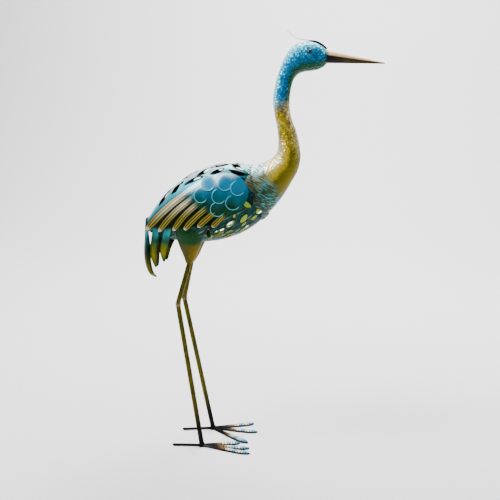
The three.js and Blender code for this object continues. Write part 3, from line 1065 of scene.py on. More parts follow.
@dataclass(frozen=True)
class PiercedBody:
    """The hollow body with its leaf openings, each with a pressed lip."""

    rows: int = 208
    around: int = 224
    tail_end: float = 0.0006
    mouth: float = 0.915
    bunching: float = 0.28
    lip: float = 1.0
    lip_width: float = 2.6
    edge_steps: int = 3
    feeler: float = 0.2
    least_slope: float = 0.2
    least_radius: float = 5.0
    leaves: tuple[Leaf, ...] = (
        Leaf((0.176, 36), (0.284, 9), 17), Leaf((0.298, 36), (0.366, 26), 13),
        Leaf((0.374, 27), (0.395, 24), 6), Leaf((0.410, 36), (0.542, 37), 7.5, -1),
        Leaf((0.390, 10), (0.505, 11), 14, 1), Leaf((0.506, 29), (0.610, 18), 13, 1),
        Leaf((0.604, 36), (0.690, 28), 9, 1), Leaf((0.609, 15), (0.722, 12), 15, -2),
        Leaf((0.742, 8), (0.832, 31), 14, 2), Leaf((0.728, 33), (0.828, 45), 9, 2),
        Leaf((0.834, 34), (0.874, 46), 7), Leaf((0.826, 54), (0.862, 64), 6, 1),
        Leaf((0.768, 58), (0.820, 62), 13, 1), Leaf((0.818, 71), (0.841, 79), 6),
        Leaf((0.762, 97), (0.796, 113), 10, 1), Leaf((0.812, 134), (0.872, 128), 15, 1),
        Leaf((0.693, 133), (0.754, 124), 11, 1), Leaf((0.594, 130), (0.663, 124), 9, 1),
        Leaf((0.440, 147), (0.474, 124), 11), Leaf((0.464, 143), (0.560, 139), 7, 2),
        Leaf((0.536, 156), (0.618, 152), 7, 2), Leaf((0.652, 156), (0.732, 150), 8, 2),
        Leaf((0.762, 140), (0.808, 140), 8, 1), Leaf((0.662, 118), (0.690, 114), 5),
        Leaf((0.500, 134), (0.582, 132), 5, 1), Leaf((0.684, 142), (0.728, 138), 5, 1),
        Leaf((0.536, 147), (0.618, 141), 5.5, 1))

    def inside(self, along: Array, angle: Array) -> Array:
        """How far inside the nearest opening places are, in millimetres, negative outside."""
        down = down_from_ridge(angle)
        return np.max([leaf.inside(along, down) for leaf in self.leaves], axis=0)

    def to_edge(self, along: Array, angle: Array, radius: Array) -> tuple[Array, Array]:
        """Move places one step down the slope to the nearest opening's edge.

        Args:
            along: Fractions of the body's length.
            angle: Radians down from its ridge.
            radius: The body's radius there.

        Returns:
            The new fractions and the new angles.
        """
        here = self.inside(along, angle)
        slope_along = (self.inside(along + self.feeler / EGG.length, angle) - here) / self.feeler
        slope_round = (self.inside(along, angle + self.feeler / radius) - here) / self.feeler
        push = -here / np.maximum(slope_along**2 + slope_round**2, self.least_slope)
        return along + push * slope_along / EGG.length, angle + push * slope_round / radius

    def shape(self) -> Surface:
        """Cut the openings and press their lips.

        Squares wholly inside an opening go, and the corners left inside move to its edge in
        a few steps. A lip is a bell over the distance from the edge.

        Returns:
            The closed shell, with its lining as the second paint.
        """
        share = shares(self.rows)
        spread = (1 - self.bunching) * share + self.bunching * share**2
        along = self.tail_end + (self.mouth - self.tail_end) * spread
        along, angle = (a.copy() for a in np.broadcast_arrays(along, angles(self.around)))
        within = self.inside(along, angle).ravel() > 0
        squares = Surface.grid(EGG.point(along, angle), True).faces[0]
        squares = squares[~within[squares].all(axis=1)]
        border = np.zeros(within.size, bool)
        border[squares.ravel()] = True
        border = (border & within).reshape(along.shape)
        radius = EGG.full(along[border]) * (EGG.half_height + EGG.half_width) / 2
        radius = np.maximum(radius, self.least_radius)
        for _ in range(self.edge_steps):
            along[border], angle[border] = self.to_edge(along[border], angle[border], radius)
        near = bell(np.minimum(self.inside(along, angle), 0), self.lip_width)
        points = EGG.lifted(along, angle, self.lip * near)
        rear = np.arange(self.around)[None, ::-1]
        sheet = Surface(points.reshape(-1, 3), [squares, rear], {
            "down": down_from_ridge(angle).ravel() / np.pi, "rim": near.ravel()})
        return sheet.outward().thickened(EGG.out(along, angle), lining=1)

    def build(self) -> None:
        """Make the body."""
        make_piece("pierced_body", self.shape(), [BackPaint().make(), LiningShadeAndLight().make()],
                   ["body_shell"])


# Neck and head


@dataclass(frozen=True)
class Tongue:
    """One pointed tongue of the collar, in degrees down from the ridge."""

    start: float
    end: float
    reach: float


@dataclass(frozen=True)
class NeckAndHead:
    """The hollow neck from the toothed collar to the head, closed by two rings in the beak."""

    nape: tuple[tuple[float, float], ...] = (
        (-19.6, 695.2), (-1, 698.2), (17, 704.5), (33, 713.6), (43.2, 726), (46.4, 747),
        (43.6, 780), (37, 812), (33, 842), (37.2, 877), (47, 911), (60.5, 943), (80, 968),
        (105, 977), (132, 974), (148, 964.8), (155.9, 957.6))
    throat: tuple[tuple[float, float], ...] = (
        (20.7, 578.4), (40.5, 600), (60, 626), (78, 656.5), (92, 683), (98.6, 716),
        (89.4, 770), (76.2, 806), (71.6, 840), (75.8, 876), (82, 894), (92, 904.5), (106, 909.6),
        (122, 911.4), (138, 915), (150.5, 922), (155.9, 928.2))
    collar_width: float = 0.775
    neck_width: float = 0.96
    widening: float = 0.3
    rows: int = 250
    collar_rows: int = 22
    faded_rows: int = 44
    around: int = 136
    base: float = 0.862
    root: float = 5.0
    stand: float = 1.5
    flare: float = 2.0
    fold: float = 0.9
    point: float = 1.3
    closing: tuple[tuple[float, float], ...] = ((0.55, 1.2), (0.05, 1.6))
    tongues: tuple[Tongue, ...] = (
        Tongue(-45, 45, 31), Tongue(45, 90, 16), Tongue(90, 135, 12), Tongue(135, 180, 13))

    def reach(self, angle: Array) -> tuple[Array, Array]:
        """Find how far the collar's edge reaches back over the body.

        A tongue's reach falls from its middle to its sides as 1 less the share to a power.

        Args:
            angle: Radians down from the ridge.

        Returns:
            The reach, and how near a tongue's middle each angle is, 0 to 1.
        """
        down = np.degrees(down_from_ridge(angle))
        total, middle = np.zeros_like(down), np.zeros_like(down)
        for tongue in self.tongues:
            share = np.abs(2 * (down - tongue.start) / (tongue.end - tongue.start) - 1)
            held = share <= 1
            total = np.where(held, self.root + tongue.reach * (1 - share**self.point), total)
            middle = np.where(held, 1 - share, middle)
        return total, middle

    def collar(self, angle: Array) -> Array:
        """Lay the collar's rings over the body, flared in front, each tongue folded up.

        Args:
            angle: Radians down from the ridge.

        Returns:
            The rings, the tongues' points first.
        """
        back, middle = self.reach(angle)
        share = 1 - shares(self.collar_rows + 1)[:-1]
        stand = self.stand + SHEET + self.flare * (1 - np.cos(angle)) / 2
        lift = stand + self.fold * middle * share
        return EGG.lifted(self.base - share * back / EGG.length, angle, lift)

    def neck(self, angle: Array) -> Array:
        """Carry an oval ring along between the lines of the nape and the throat.

        Args:
            angle: Radians down from the nape.

        Returns:
            The rings up to the beak, and the two that close them.
        """
        along = np.linspace(0, 1, self.rows)
        nape, throat = (curve([(x, 0, z) for x, z in line], along) for line in (self.nape, self.throat))
        centre, depth = (nape + throat) / 2, (nape - throat) / 2
        change = smooth(along / self.widening)
        width = self.collar_width + (self.neck_width - self.collar_width) * change
        width = width * np.linalg.norm(depth, axis=1)
        ring = angle[..., None]
        rings = (centre[:, None] + depth[:, None] * np.cos(ring)
                 + ACROSS * width[:, None, None] * np.sin(ring))
        ends = [centre[-1] + (rings[-1:] - centre[-1]) * size + [ahead, 0, 0]
                for size, ahead in self.closing]
        return np.concatenate([rings, *ends])

    def shape(self) -> Surface:
        """Join the collar's rings to the neck's and give the sheet its thickness.

        Returns:
            The closed sheet.
        """
        angle = angles(self.around)
        points = np.concatenate([self.collar(angle), self.neck(angle)])
        rows = len(points)
        past = np.maximum(np.arange(rows) - self.collar_rows, 0)[:, None]
        tongue = 1 - smooth(past / self.faded_rows)
        skin = Surface.grid(points, True, {"front": (1 - np.cos(angle)) / 2, "tongue": tongue})
        last = (rows - 1) * self.around + np.arange(self.around)[None, :]
        sheet = Surface(skin.points, [skin.faces[0], last], skin.marks)
        return sheet.outward().thickened(normals(points, True, np.array([-1, 0, 1])))

    def build(self) -> None:
        """Make the neck and head."""
        make_piece("hammered_neck", self.shape(), [NeckPaint().make()], ["neck_and_head"])


@dataclass(frozen=True)
class Beak:
    """The folded beak: top, crease and bottom heights and half width at root and tip."""

    root: tuple[float, ...] = (155.9, 956.6, 949.4, 928.6, 11.5)
    tip: tuple[float, ...] = (286.2, 929.4, 928.2, 926.6, 1.2)
    rows: int = 70
    around: int = 28
    crispness: float = 1.35
    fold: float = 1.1
    under_from: float = -0.02

    def build(self) -> None:
        """Make the beak: rounded folds above and below a crisp side crease.

        Its rings are a cosine and a sine, each to a power, scaled evenly from root to tip.
        """
        share = shares(self.rows)
        x, top, crease, low, half = (a + (b - a) * share for a, b in zip(self.root, self.tip))
        turn = angles(self.around)
        cos, sin = np.cos(turn), np.sin(turn)
        side = half * np.sign(cos) * np.abs(cos) ** self.crispness
        rise = np.where(sin >= 0, top - crease, low - crease) * np.abs(sin) ** self.fold
        # The under mark picks the folds below the crease, which the paint darkens as painted shade.
        marks = {"under": sin < self.under_from, "run": share}
        make_piece("folded_beak", Surface.tube(places(x, side, crease + rise), marks),
                   [BeakPaint().make()], ["beak"], crease=28.0)


@dataclass(frozen=True)
class Crest:
    """The strip that hugs the crown and the spike it ends in."""

    path: tuple[tuple[float, float], ...] = (
        (155.6, 960.4), (144, 970.4), (129, 977), (113, 979.6), (100, 981), (90, 982.8),
        (79, 989.6), (65, 1000))
    half_width: float = 7.6
    thickness: float = 1.7
    thinning: float = 1.1
    thin_from: float = 0.25
    root_share: float = 0.55
    opening: float = 3.0
    narrowing: float = 0.6
    narrow_over: float = 0.25
    spike_from: float = 0.35
    ease: float = 0.2
    crown: float = 16.0
    tip: float = 0.7
    rows: int = 90
    around: int = 16

    def build(self) -> None:
        """Make the crest: an oval along the path, wide over the crown and narrow in the spike.

        Over the crown it sags at its sides by their square over twice the crown's radius.
        """
        share = shares(self.rows)
        centre = curve([(x, 0, z) for x, z in self.path], share[:, 0])[:, None]
        along = unit(np.gradient(centre, axis=0))
        up = places(along[..., 2], 0.0, -along[..., 0])
        root = np.minimum(1, self.root_share + self.opening * share)
        rear = 1 - self.narrowing * smooth((share - self.spike_from) / self.narrow_over)
        wide = np.maximum(self.half_width * root * rear * (1 - share**4), self.tip)
        thick = self.thickness - self.thinning * smooth((share - self.thin_from) / self.ease)
        turn = angles(self.around)
        side = wide * np.cos(turn)
        sag = side**2 / (2 * self.crown) * (1 - smooth((share - self.spike_from) / self.ease))
        rise = thick * np.sin(turn) - sag
        points = centre + up * rise[..., None] + ACROSS * side[..., None]
        make_piece("crest_strip", Surface.tube(points), [CREST_PAINT.make()], ["crest_plume"],
                   crease=60.0)


@dataclass(frozen=True)
class Eye:
    """A round bead set in each side of the head."""

    centre: Place = (119.9, 27.5, 952.5)
    radius: float = 6.2
    rows: int = 28
    around: int = 40
    gap: float = 0.02

    def build(self, side: Side, gloss: bpy.types.Material) -> None:
        """Make one eye: a ball whose poles are small flat faces.

        Args:
            side: Which eye.
            gloss: Its paint.
        """
        out, turn = shares(self.rows, self.gap, np.pi - self.gap), angles(self.around)
        ball = places(np.sin(out) * np.cos(turn), np.cos(out), np.sin(out) * np.sin(turn))
        skin = Surface.tube(self.centre + self.radius * ball).mirrored(side)
        make_piece(f"eye_bead_{side.word}", skin, [gloss], [f"eye_{side.word}"],
                   crease=80.0)


# Wings


@dataclass(frozen=True)
class WingSheet:
    """The curved sheet that a wing is pressed from: y as a smooth saddle over x and z."""

    centre: tuple[float, float] = (-120, 610)
    reach: tuple[float, float] = (100, 70)
    depth: float = 67.4
    slope: tuple[float, float] = (8.9, -6.6)
    curve: tuple[float, float, float] = (-18.9, 12.7, -20.7)
    front: float = 1.6
    back: float = 0.2
    tip_lift: float = 11.0

    def lifted(self, x: Array, z: Array, lift: Array) -> Array:
        """Find points off the sheet.

        Args:
            x: How far forward they are.
            z: How far up they are.
            lift: How far off the sheet they are.

        Returns:
            The points.
        """
        u, v = (x - self.centre[0]) / self.reach[0], (z - self.centre[1]) / self.reach[1]
        y = (self.depth + self.slope[0] * u + self.slope[1] * v + self.curve[0] * u * u
             + self.curve[1] * u * v + self.curve[2] * v * v)
        return places(x, y + lift, z)


@dataclass(frozen=True)
class Feather:
    """A long feather from root to tip, as x and z, with a round crown and a blunt tip."""

    root: tuple[float, float]
    tip: tuple[float, float]
    half_width: float
    bow: float
    root_width: float = 0.72
    widening: float = 0.35
    blunt_from: float = 0.8
    blunt_least: float = 0.02
    crown: float = 2.4
    crown_power: float = 2.2
    crown_start: float = 3.0
    groove: float = 0.8
    grooves: float = 1.6
    paint_root: float = 0.05
    rows: int = 70
    columns: int = 33

    def middle(self, share: Array, off: Array | float = 0.0) -> tuple[Array, Array]:
        """Follow the feather's middle, a straight line bowed by half a sine, or beside it.

        Args:
            share: How far from its root to its tip.
            off: How far to the side.

        Returns:
            The places' x and z.
        """
        run = np.subtract(self.tip, self.root)
        length = np.hypot(*run)
        side = off - self.bow * np.sin(np.pi * share)
        return (self.root[0] + run[0] * share - run[1] / length * side,
                self.root[1] + run[1] * share + run[0] / length * side)

    def skin(self, sheet: WingSheet) -> Surface:
        """Shape the feather.

        Across, the crown is 1 less the share to a power and the grooves beside its ridge are
        a squared cosine. Along, the width grows evenly up to the tip.

        Args:
            sheet: The wing's sheet.

        Returns:
            The feather's closed skin.
        """
        share = shares(self.rows)
        across = np.linspace(-1, 1, self.columns)[None, :]
        width = np.where(share < self.blunt_from, self.root_width + self.widening * share,
                         rounded(share, self.blunt_from, self.blunt_least))
        crown = (1 - np.abs(across) ** self.crown_power) * np.minimum(1, self.crown_start * share)
        line = crown * np.cos(across * np.pi * self.grooves) ** 2
        lift = sheet.tip_lift * share**3
        x, z = self.middle(share, across * width * self.half_width)
        top = sheet.lifted(x, z, lift + sheet.front + self.crown * crown + self.groove * line)
        under = sheet.lifted(x, z, lift + sheet.back)[:, -2:0:-1]
        below = ((0, 0), (0, under.shape[1]))
        return Surface.tube(np.concatenate([top, under], axis=1), {
            "run": self.paint_root + (1 - self.paint_root) * share,
            "ridge": np.pad(crown, below), "line": np.pad(line, below)})


@dataclass(frozen=True)
class Web:
    """The sheet between the feathers, its lower edge scalloped by a sine."""

    reach: float = 0.97
    scallop: float = 0.05
    lift: float = 1.2
    thickness: float = 0.8
    paint_root: float = 0.05
    paint_reach: float = 0.9
    rows: int = 44
    steps: int = 10

    def skin(self, sheet: WingSheet, feathers: tuple[Feather, ...]) -> Surface:
        """Span the web evenly from each feather's middle line to the next one's.

        Args:
            sheet: The wing's sheet.
            feathers: The feathers, in order.

        Returns:
            The web's closed skin.
        """
        last = len(feathers) - 1
        across = np.linspace(0, last, last * self.steps + 1)[None, :]
        first = np.minimum(across.astype(int), last - 1)
        part = across - first
        share = shares(self.rows) * (self.reach - self.scallop * np.sin(np.pi * part))
        lines = np.array([feather.middle(share) for feather in feathers])
        row, column = np.ogrid[:share.shape[0], :share.shape[1]]
        x, z = (line[first, row, column] * (1 - part) + line[first + 1, row, column] * part
                for line in (lines[:, 0], lines[:, 1]))
        lift = sheet.tip_lift * share**3 + self.lift
        top, under = sheet.lifted(x, z, lift), sheet.lifted(x, z, lift - self.thickness)
        points = np.concatenate([top, under[:, ::-1]], axis=1)
        return Surface.tube(points, {"run": self.paint_root + self.paint_reach * np.tile(share, 2)})


@dataclass(frozen=True)
class Shoulder:
    """The oval shoulder plate: its middle, its half sizes and its turn."""

    centre: tuple[float, float] = (-76, 630)
    half_length: float = 62.0
    half_height: float = 49.0
    turn: float = math.radians(15)
    swell: float = 1.5
    pole: float = 0.02
    rings: int = 30
    back_rings: int = 12
    around: int = 96

    def skin(self, sheet: WingSheet) -> Surface:
        """Shape the plate: its front swells by a parabola, its back follows the sheet.

        Args:
            sheet: The wing's sheet.

        Returns:
            The plate's closed skin.
        """
        over, under = shares(self.rings, self.pole, 1), shares(self.back_rings, 1, self.pole)
        share = np.concatenate([over, under])
        front = sheet.front + self.swell * (1 - over**2)
        lift = np.concatenate([front, np.full_like(under, sheet.back)])
        angle = angles(self.around)
        a = share * self.half_length * np.cos(angle)
        b = share * self.half_height * np.sin(angle)
        x = self.centre[0] + a * math.cos(self.turn) - b * math.sin(self.turn)
        z = self.centre[1] + a * math.sin(self.turn) + b * math.cos(self.turn)
        return Surface.tube(sheet.lifted(x, z, lift))


@dataclass(frozen=True)
class Scale:
    """A round, dished scale that leans out at its lower rear edge, where its rim stands."""

    x: float
    z: float
    radius: float = 17.8
    facing: float = math.radians(215)
    low: float = 1.1
    high: float = 3.4
    dish: float = 0.54
    rim: float = 1.1
    rim_at: float = 0.92
    rim_width: float = 0.05
    rim_from: float = 0.75
    rim_ease: float = 0.7
    pole: float = 0.03
    rings: int = 20
    around: int = 64

    def skin(self, sheet: WingSheet) -> Surface:
        """Shape the scale: a tilted, dished disc whose rim is a bell across its edge.

        Args:
            sheet: The wing's sheet.

        Returns:
            The scale's closed skin.
        """
        over = shares(self.rings, self.pole, 1)
        share = np.concatenate([over, [[1.0], [0.6], [self.pole]]])
        top = np.arange(len(share))[:, None] < len(over)
        angle = angles(self.around)
        lean = np.cos(angle - self.facing)
        arc = smooth((lean + self.rim_from) / self.rim_ease)
        rim = bell(share - self.rim_at, self.rim_width) * arc * top
        tilt = self.low + (self.high - self.low) * (0.5 + 0.5 * share * lean)
        rise = tilt - self.dish * (1 - share**2) + self.rim * rim
        lift = np.where(top, sheet.front + rise, sheet.front / 2)
        x = self.x + share * self.radius * np.cos(angle)
        z = self.z + share * self.radius * np.sin(angle)
        return Surface.tube(sheet.lifted(x, z, lift), {"rim": rim, "scale": top * (1 - share**4)})


@dataclass(frozen=True)
class Wing:
    """A pressed wing: scaled shoulder, six feathers and the web between them."""

    sheet: WingSheet = WingSheet()
    shoulder: Shoulder = Shoulder()
    web: Web = Web()
    scales: tuple[Scale, ...] = (
        Scale(-84.4, 597.4), Scale(-48.5, 613.5), Scale(-81, 628.3), Scale(-124.3, 628.7),
        Scale(-37.8, 647.3), Scale(-67.9, 658.1), Scale(-108.5, 656.9))
    feathers: tuple[Feather, ...] = (
        Feather((-112, 662), (-271, 536), 10.5, 8.5), Feather((-112, 642), (-235, 536), 9, 8),
        Feather((-104, 627), (-195, 542.5), 8.8, 7), Feather((-90, 614), (-166, 546.5), 8.8, 3),
        Feather((-76, 602), (-131, 554.5), 8.6, 1), Feather((-62, 592), (-97, 556), 7.6, 0))

    def build(self, side: Side, colour: bpy.types.Material) -> None:
        """Make one wing.

        Args:
            side: Which wing.
            colour: Its paint.
        """
        parts = [self.web.skin(self.sheet, self.feathers), self.shoulder.skin(self.sheet)]
        parts += [part.skin(self.sheet) for part in (*self.feathers, *self.scales)]
        make_piece(f"pressed_wing_{side.word}", joined(parts).mirrored(side), [colour],
                   [f"wing_{side.word}"], crease=50.0)


# Tail


@dataclass(frozen=True)
class TailLeaf:
    """A hanging leaf of sheet, round across like a gutter that opens towards the body.

    The turn is how many degrees it looks aside from straight back.
    """

    turn: float
    half_width: float
    gutter: float
    spine: tuple[Place, ...]
    rows: int = 72
    columns: int = 29
    root: float = 0.2
    tip: float = 0.98
    fullness: float = 0.6
    bend_over: float = 0.35
    ridge: float = 0.7
    ridge_width: float = 0.12
    ridge_over: float = 0.2

    def build(self, place: str, side: Side, colour: bpy.types.Material) -> None:
        """Make the leaf: its edges bend in by their square, and a bell is its middle line.

        Its width follows a sine, from the root's part of half a turn to the tip's, to a power.

        Args:
            place: Where it hangs, as its node says.
            side: Which side it hangs on, the left for the middle one.
            colour: Its paint.
        """
        share = shares(self.rows)
        spine = curve(self.spine, share[:, 0])[:, None]
        turn = math.radians(self.turn)
        out = np.array([-math.cos(turn), math.sin(turn), 0.0])
        across = np.array([-out[1], out[0], 0.0])
        wide = np.sin(np.pi * (self.root + (self.tip - self.root) * share)) ** self.fullness
        edge = np.linspace(-1, 1, self.columns)[None, :]
        bend = self.gutter * smooth(share / self.bend_over) * wide * edge**2
        rise = self.ridge * bell(edge, self.ridge_width) * smooth(share / self.ridge_over) - bend
        off = edge * self.half_width * wide
        points = spine + across * off[..., None] + out * rise[..., None]
        sheet = Surface.grid(points, False, {"run": share, "ridge": 1 - np.abs(edge)})
        closed = sheet.thickened(normals(points, False, out)).outward().mirrored(side)
        make_piece(f"tail_leaf_{place}", closed, [colour], [f"tail_feather_{place}"],
                   crease=60.0)


MIDDLE_LEAF = TailLeaf(0, 15, 11, (
    (-277, 0, 562), (-283.6, 0, 510), (-286, 0, 472), (-282.5, 0, 442), (-273, 0, 421),
    (-258, 0, 413)))
SIDE_LEAVES = {
    "rear": TailLeaf(60, 13, 5, (
        (-243, 27, 556), (-255.5, 22, 510), (-262.5, 13, 470), (-256, 8, 439))),
    "front": TailLeaf(76, 11.5, 4, (
        (-210, 40, 552), (-224, 32, 512), (-233.5, 19, 482), (-233, 12, 455.5)))}


# Legs and feet


@dataclass(frozen=True)
class Thigh:
    """A rolled cone: sections of centre, height, half length and half width."""

    sections: tuple[tuple[float, ...], ...] = (
        (-169.3, 11, 454, 7.8, 7.4), (-166.4, 13, 471, 15.6, 11), (-165.2, 17, 491, 23.4, 15),
        (-163.6, 22, 512, 30.6, 19), (-162.5, 29, 531, 34, 21.5), (-162, 34, 545, 34, 19))
    lap: float = 0.02
    seam: float = 2.7
    lap_from: float = 0.9
    rows: int = 72
    around: int = 96

    def build(self, side: Side, colour: bpy.types.Material) -> None:
        """Make the cone, an oval through the sections, with the lap of its seam at the back.

        Args:
            side: Which thigh.
            colour: Its paint.
        """
        sections = curve(self.sections, np.linspace(0, 1, self.rows))
        x, y, z, long, wide = (sections[:, i, None] for i in range(5))
        turn = angles(self.around)
        near = (np.cos(turn - self.seam) - self.lap_from) / (1 - self.lap_from)
        lap = 1 + self.lap * smooth(near)
        points = places(x + long * lap * np.cos(turn), y + wide * lap * np.sin(turn), z)
        make_piece(f"rolled_thigh_{side.word}", Surface.tube(points).mirrored(side), [colour],
                   [f"thigh_{side.word}"])


@dataclass(frozen=True)
class Toe:
    """A toe's direction in degrees from straight ahead, and its length."""

    heading: float
    length: float

    def points(self, ankle: Array, share: Array, off: Array, rise: Array) -> Array:
        """Find points on the toe.

        Args:
            ankle: Where it starts, on the ground.
            share: How far to its tip, 0 to 1.
            off: How far to its side, in millimetres.
            rise: How far up, in millimetres.

        Returns:
            The points.
        """
        turn, run = math.radians(self.heading), share * self.length
        return ankle + places(run * math.cos(turn) - off * math.sin(turn),
                              run * math.sin(turn) + off * math.cos(turn), rise)


@dataclass(frozen=True)
class FrontToe(Toe):
    """A leaf with a ridge along it and pressed notches across its far half."""

    root_width: float = 4.4
    spread: float = 6.1
    widest: float = 0.8
    blunt_least: float = 0.03
    root_height: float = 7.0
    fall: float = 2.0
    tip_drop: float = 0.25
    tip_from: float = 0.9
    wall: float = 0.42
    crown_power: float = 1.15
    clearance: float = 0.3
    pitch: float = 7.0
    notch_from: float = 0.4
    notch_ease: float = 0.12
    press: float = 1.1
    pinch: float = 0.07
    rows: int = 110
    columns: int = 21

    def skin(self, ankle: Array) -> Surface:
        """Shape the toe: eased width, crown by a power of the share across, cosine notches.

        Args:
            ankle: Where it starts, on the ground.

        Returns:
            Its closed skin.
        """
        share = shares(self.rows)
        notch = (0.5 + 0.5 * np.cos(share * self.length / self.pitch * 2 * np.pi)) ** 3
        notch = notch * smooth((share - self.notch_from) / self.notch_ease)
        width = self.root_width + self.spread * smooth(share / self.widest)
        width = width * rounded(share, self.widest, self.blunt_least) * (1 - self.pinch * notch)
        drop = self.tip_drop * smooth((share - self.tip_from) / (1 - self.tip_from))
        height = (self.root_height - self.fall * share) * (1 - drop)
        edge = np.concatenate([[-1.0], np.linspace(-1, 1, self.columns), [1.0, 0.9, 0.0, -0.9]])
        top = np.pad(np.ones(self.columns), (1, 4))
        low = np.zeros_like(edge)
        low[[0, self.columns + 1]] = self.clearance
        side = np.abs(edge)
        crown = top * (1 - side**self.crown_power)
        dip = self.press * notch * np.clip(side * 1.7 - 0.35, 0, 1)
        rise = np.where(top > 0, height * (self.wall + (1 - self.wall) * crown) - dip, low)
        return Surface.tube(self.points(ankle, share, edge * width, rise), {
            "run": share, "ridge": (0.25 + 0.75 * crown) * top,
            "notch": notch * np.clip(side * 2.2 - 0.2, 0, 1) * top})


@dataclass(frozen=True)
class BackToe(Toe):
    """A plain bar with a rounded end."""

    half_width: float = 3.4
    middle: float = 3.1
    half_height: float = 2.95
    round_from: float = 0.93
    blunt_least: float = 0.05
    colour_reach: float = 0.12
    rows: int = 40
    around: int = 24

    def skin(self, ankle: Array) -> Surface:
        """Shape the toe: an oval that shrinks to its end as a quarter circle.

        Args:
            ankle: Where it starts, on the ground.

        Returns:
            Its closed skin.
        """
        share, spin = shares(self.rows), angles(self.around)
        tip = rounded(share, self.round_from, self.blunt_least)
        off = self.half_width * tip * np.cos(spin)
        rise = self.middle + self.half_height * tip * np.sin(spin)
        points = self.points(ankle, share, off, rise)
        return Surface.tube(points, {"run": self.colour_reach * share, "ridge": np.ones(1)})


@dataclass(frozen=True)
class Hub:
    """The weld that joins the toes under the tube."""

    radius: float = 8.6
    taper: float = 2.0
    bottom: float = 0.1
    height: float = 7.4
    waves: int = 3
    wave: float = 0.05
    wave_turn: float = 0.6
    foot: float = 0.97
    rows: int = 14
    around: int = 48

    def skin(self, ankle: Array) -> Surface:
        """Shape the weld, a low cone with a sine round it, drawn in at the ground.

        Args:
            ankle: Its middle, on the ground.

        Returns:
            Its closed skin.
        """
        share, spin = shares(self.rows), angles(self.around)
        radius = self.radius - self.taper * share**2
        radius = radius * (1 + self.wave * np.sin(self.waves * spin + self.wave_turn))
        radius = radius * np.where(share > 0, 1.0, self.foot)
        rise = self.bottom + self.height * share
        points = ankle + places(radius * np.cos(spin), radius * np.sin(spin), rise)
        return Surface.tube(points, {"ridge": np.ones(1)})


@dataclass(frozen=True)
class Leg:
    """A bent leg tube and the foot welded under it."""

    side: Side
    ankle_x: float
    front: tuple[FrontToe, ...]
    back: BackToe
    hub: Hub = Hub()
    radius: float = 6.0
    hip: Place = (-169.3, 11.0, 453.7)
    knee: Place = (-194.3, 31.0, 356.0)
    ankle_y: float = 54.0
    knee_round: float = 9.0
    tube_foot: float = 7.3
    bead: float = 0.9
    bead_width: float = 2.6
    bead_drop: float = 1.0
    bare_width: float = 4.0
    foot_bead: float = 0.81
    foot_bead_width: float = 3.0
    foot_bead_height: float = 8.0
    bead_waves: int = 5
    bead_wave: float = 0.25
    rows: tuple[int, int, int] = (12, 26, 40)
    around: int = 32

    def ankle(self) -> Array:
        """The middle of the foot, on the ground."""
        return np.array([self.ankle_x, self.side.value * self.ankle_y, 0.0])

    def tube(self) -> Surface:
        """Carry a ring along the leg, straight, bent by a parabola at the knee, and straight.

        Returns:
            The tube, with bells on its radius for the weld beads at its knee and its foot.
        """
        hip, knee = (np.array(place) * [1, self.side.value, 1] for place in (self.hip, self.knee))
        foot = self.ankle() + [0, 0, self.tube_foot]
        above = knee + unit(hip - knee) * self.knee_round
        below = knee + unit(foot - knee) * self.knee_round
        upper, middle, lower = self.rows
        t = shares(middle)
        bend = above * (1 - t) ** 2 + 2 * knee * t * (1 - t) + below * t**2
        line = np.concatenate([hip + (above - hip) * shares(upper + 1)[:-1], bend,
                               below + (foot - below) * shares(lower, 0.02)])
        height = line[:, 2, None]
        from_knee = height - knee[2] + self.bead_drop
        bead = (self.bead * bell(from_knee, self.bead_width)
                + self.foot_bead * bell(height - self.foot_bead_height, self.foot_bead_width))
        turn = angles(self.around)
        radius = self.radius + bead * (1 + self.bead_wave * np.sin(self.bead_waves * turn + 1))
        points = line[:, None] + places(radius * np.cos(turn), radius * np.sin(turn), 0.0)
        return Surface.tube(points, {"weld": bell(from_knee, self.bare_width)})

    def build(self, tube_paint: bpy.types.Material, toe_paint: bpy.types.Material) -> None:
        """Make the leg and its foot.

        Args:
            tube_paint: The tube's paint.
            toe_paint: The foot's paint.
        """
        word = self.side.word
        make_piece(f"leg_tube_{word}", self.tube(), [tube_paint], [f"leg_{word}"])
        foot = joined([part.skin(self.ankle()) for part in (self.hub, self.back, *self.front)])
        make_piece(f"welded_toes_{word}", foot, [toe_paint], [f"foot_{word}"],
                   crease=30.0)


LEGS = (
    Leg(Side.RIGHT, -133.0, (FrontToe(20, 97), FrontToe(2.3, 119.5), FrontToe(-11, 128)),
        BackToe(188, 73)),
    Leg(Side.LEFT, -129.5, (FrontToe(26.5, 111.5), FrontToe(-1.1, 119), FrontToe(-34.5, 128.5)),
        BackToe(196, 79)),
)


# Studio


def stand(thing: bpy.types.Object, place: Vector, target: Vector) -> None:
    """Put a lamp or camera in its place, looking at a target."""
    thing.location = place
    thing.rotation_euler = (target - place).to_track_quat("-Z", "Y").to_euler()


@dataclass(frozen=True)
class Softbox:
    """A square lamp that looks at a point, in metres."""

    name: str
    place: Place
    target: Place
    size: float
    watts: float

    def build(self) -> None:
        """Hang the lamp."""
        lamp = bpy.data.lights.new(self.name, "AREA")
        lamp.energy, lamp.size = self.watts, self.size
        stand(placed(self.name, lamp), Vector(self.place), Vector(self.target))


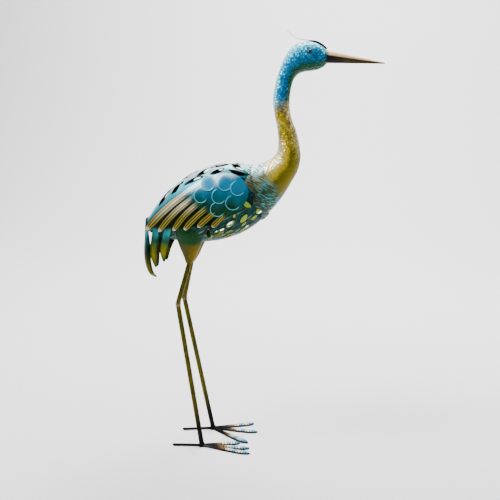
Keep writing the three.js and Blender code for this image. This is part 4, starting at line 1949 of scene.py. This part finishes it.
@dataclass(frozen=True)
class Studio:
    """White sweep and soft lamps in metres, and the camera's place in millimetres."""

    eye: Place = (343.1, -1977.1, 896.7)
    target: Place = (-21.2, -11.5, 490.0)
    lens: float = 61.06
    sky: Colour = (0.93, 0.96, 1.0)
    sky_strength: float = 0.27
    sensor: float = 36.0
    far: float = 50.0
    floor: tuple[float, float] = (-4.0, 2.0)
    bend: float = 2.0
    wall: float = 4.0
    half_width: float = 7.0
    lamps: tuple[Softbox, ...] = (
        Softbox("key", (-1.5, -0.7, 2.3), (0, 0, 0.6), 0.9, 78.0),
        Softbox("fill", (0.6, -2.4, 1.5), (0, 0, 0.5), 1.6, 12.0),
        Softbox("top", (0.1, 1.0, 2.4), (0, 0, 0.6), 1.2, 40.0),
        Softbox("side", (2.2, 0.7, 1.1), (0, 0, 0.75), 1.0, 34.0),
        Softbox("wall", (0.0, 2.0, 3.4), (0, 4.4, 0.6), 3.0, 280.0),
    )

    def sweep(self) -> None:
        """Lay the floor over half the run, bend it up in a quarter circle, and end in a wall."""
        run = shares(60)
        turn = np.clip(run - 0.5, 0, 0.25) * 2 * np.pi
        near, far = self.floor
        y = near + (far - near) * np.minimum(2 * run, 1) + self.bend * np.sin(turn)
        z = self.bend * (1 - np.cos(turn)) + self.wall * np.clip(4 * run - 3, 0, 1)
        x = np.array([[-self.half_width, self.half_width]])
        skin = Surface.grid(places(x, y, z), False)
        mesh = bpy.data.meshes.new("sweep")
        mesh.from_pydata(skin.points.tolist(), [], skin.faces[0].tolist())
        mesh.shade_smooth()
        g = Graph("sweep_paper")
        rough = 0.8 + g.noise(3.0) * 0.05
        mesh.materials.append(g.finish(paint(250, 250, 250), rough, 0.0, coat=0.0))
        placed("sweep", mesh)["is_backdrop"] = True

    def build(self) -> None:
        """Set up the floor, lamps, sky and camera."""
        self.sweep()
        for lamp in self.lamps:
            lamp.build()
        world = bpy.data.worlds.new("studio")
        world.use_nodes = True
        sky = world.node_tree.nodes["Background"]
        sky.inputs["Color"].default_value = (*self.sky, 1.0)
        sky.inputs["Strength"].default_value = self.sky_strength
        bpy.context.scene.world = world
        camera = bpy.data.cameras.new("camera")
        camera.lens, camera.sensor_width = self.lens, self.sensor
        camera.clip_end = self.far
        holder = placed("camera", camera)
        stand(holder, Vector(self.eye) * METRES, Vector(self.target) * METRES)
        bpy.context.scene.camera = holder


def main() -> None:
    """Build the crane and its studio, and log how many faces each shown piece has."""
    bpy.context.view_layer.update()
    Studio().build()
    PiercedBody().build()
    NeckAndHead().build()
    Beak().build()
    Crest().build()
    gloss = EYE_PAINT.make()
    wing_paint, tail_paint, thigh_paint = (p.make() for p in (WingPaint(), TailPaint(), ThighPaint()))
    for side in Side:
        Eye().build(side, gloss)
        Wing().build(side, wing_paint)
        Thigh().build(side, thigh_paint)
        for place, leaf in SIDE_LEAVES.items():
            leaf.build(f"{side.word}_{place}", side, tail_paint)
    MIDDLE_LEAF.build("centre", Side.LEFT, tail_paint)
    tube_paint, toe_paint = LegPaint().make(), ToePaint().make()
    for leg in LEGS:
        leg.build(tube_paint, toe_paint)
    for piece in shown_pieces():
        if piece.type == "MESH":
            LOG.info("%s: %d faces", piece.name, len(piece.data.polygons))


if __name__ == "__main__":
    logging.basicConfig(level=logging.INFO, format="%(message)s")
    main()
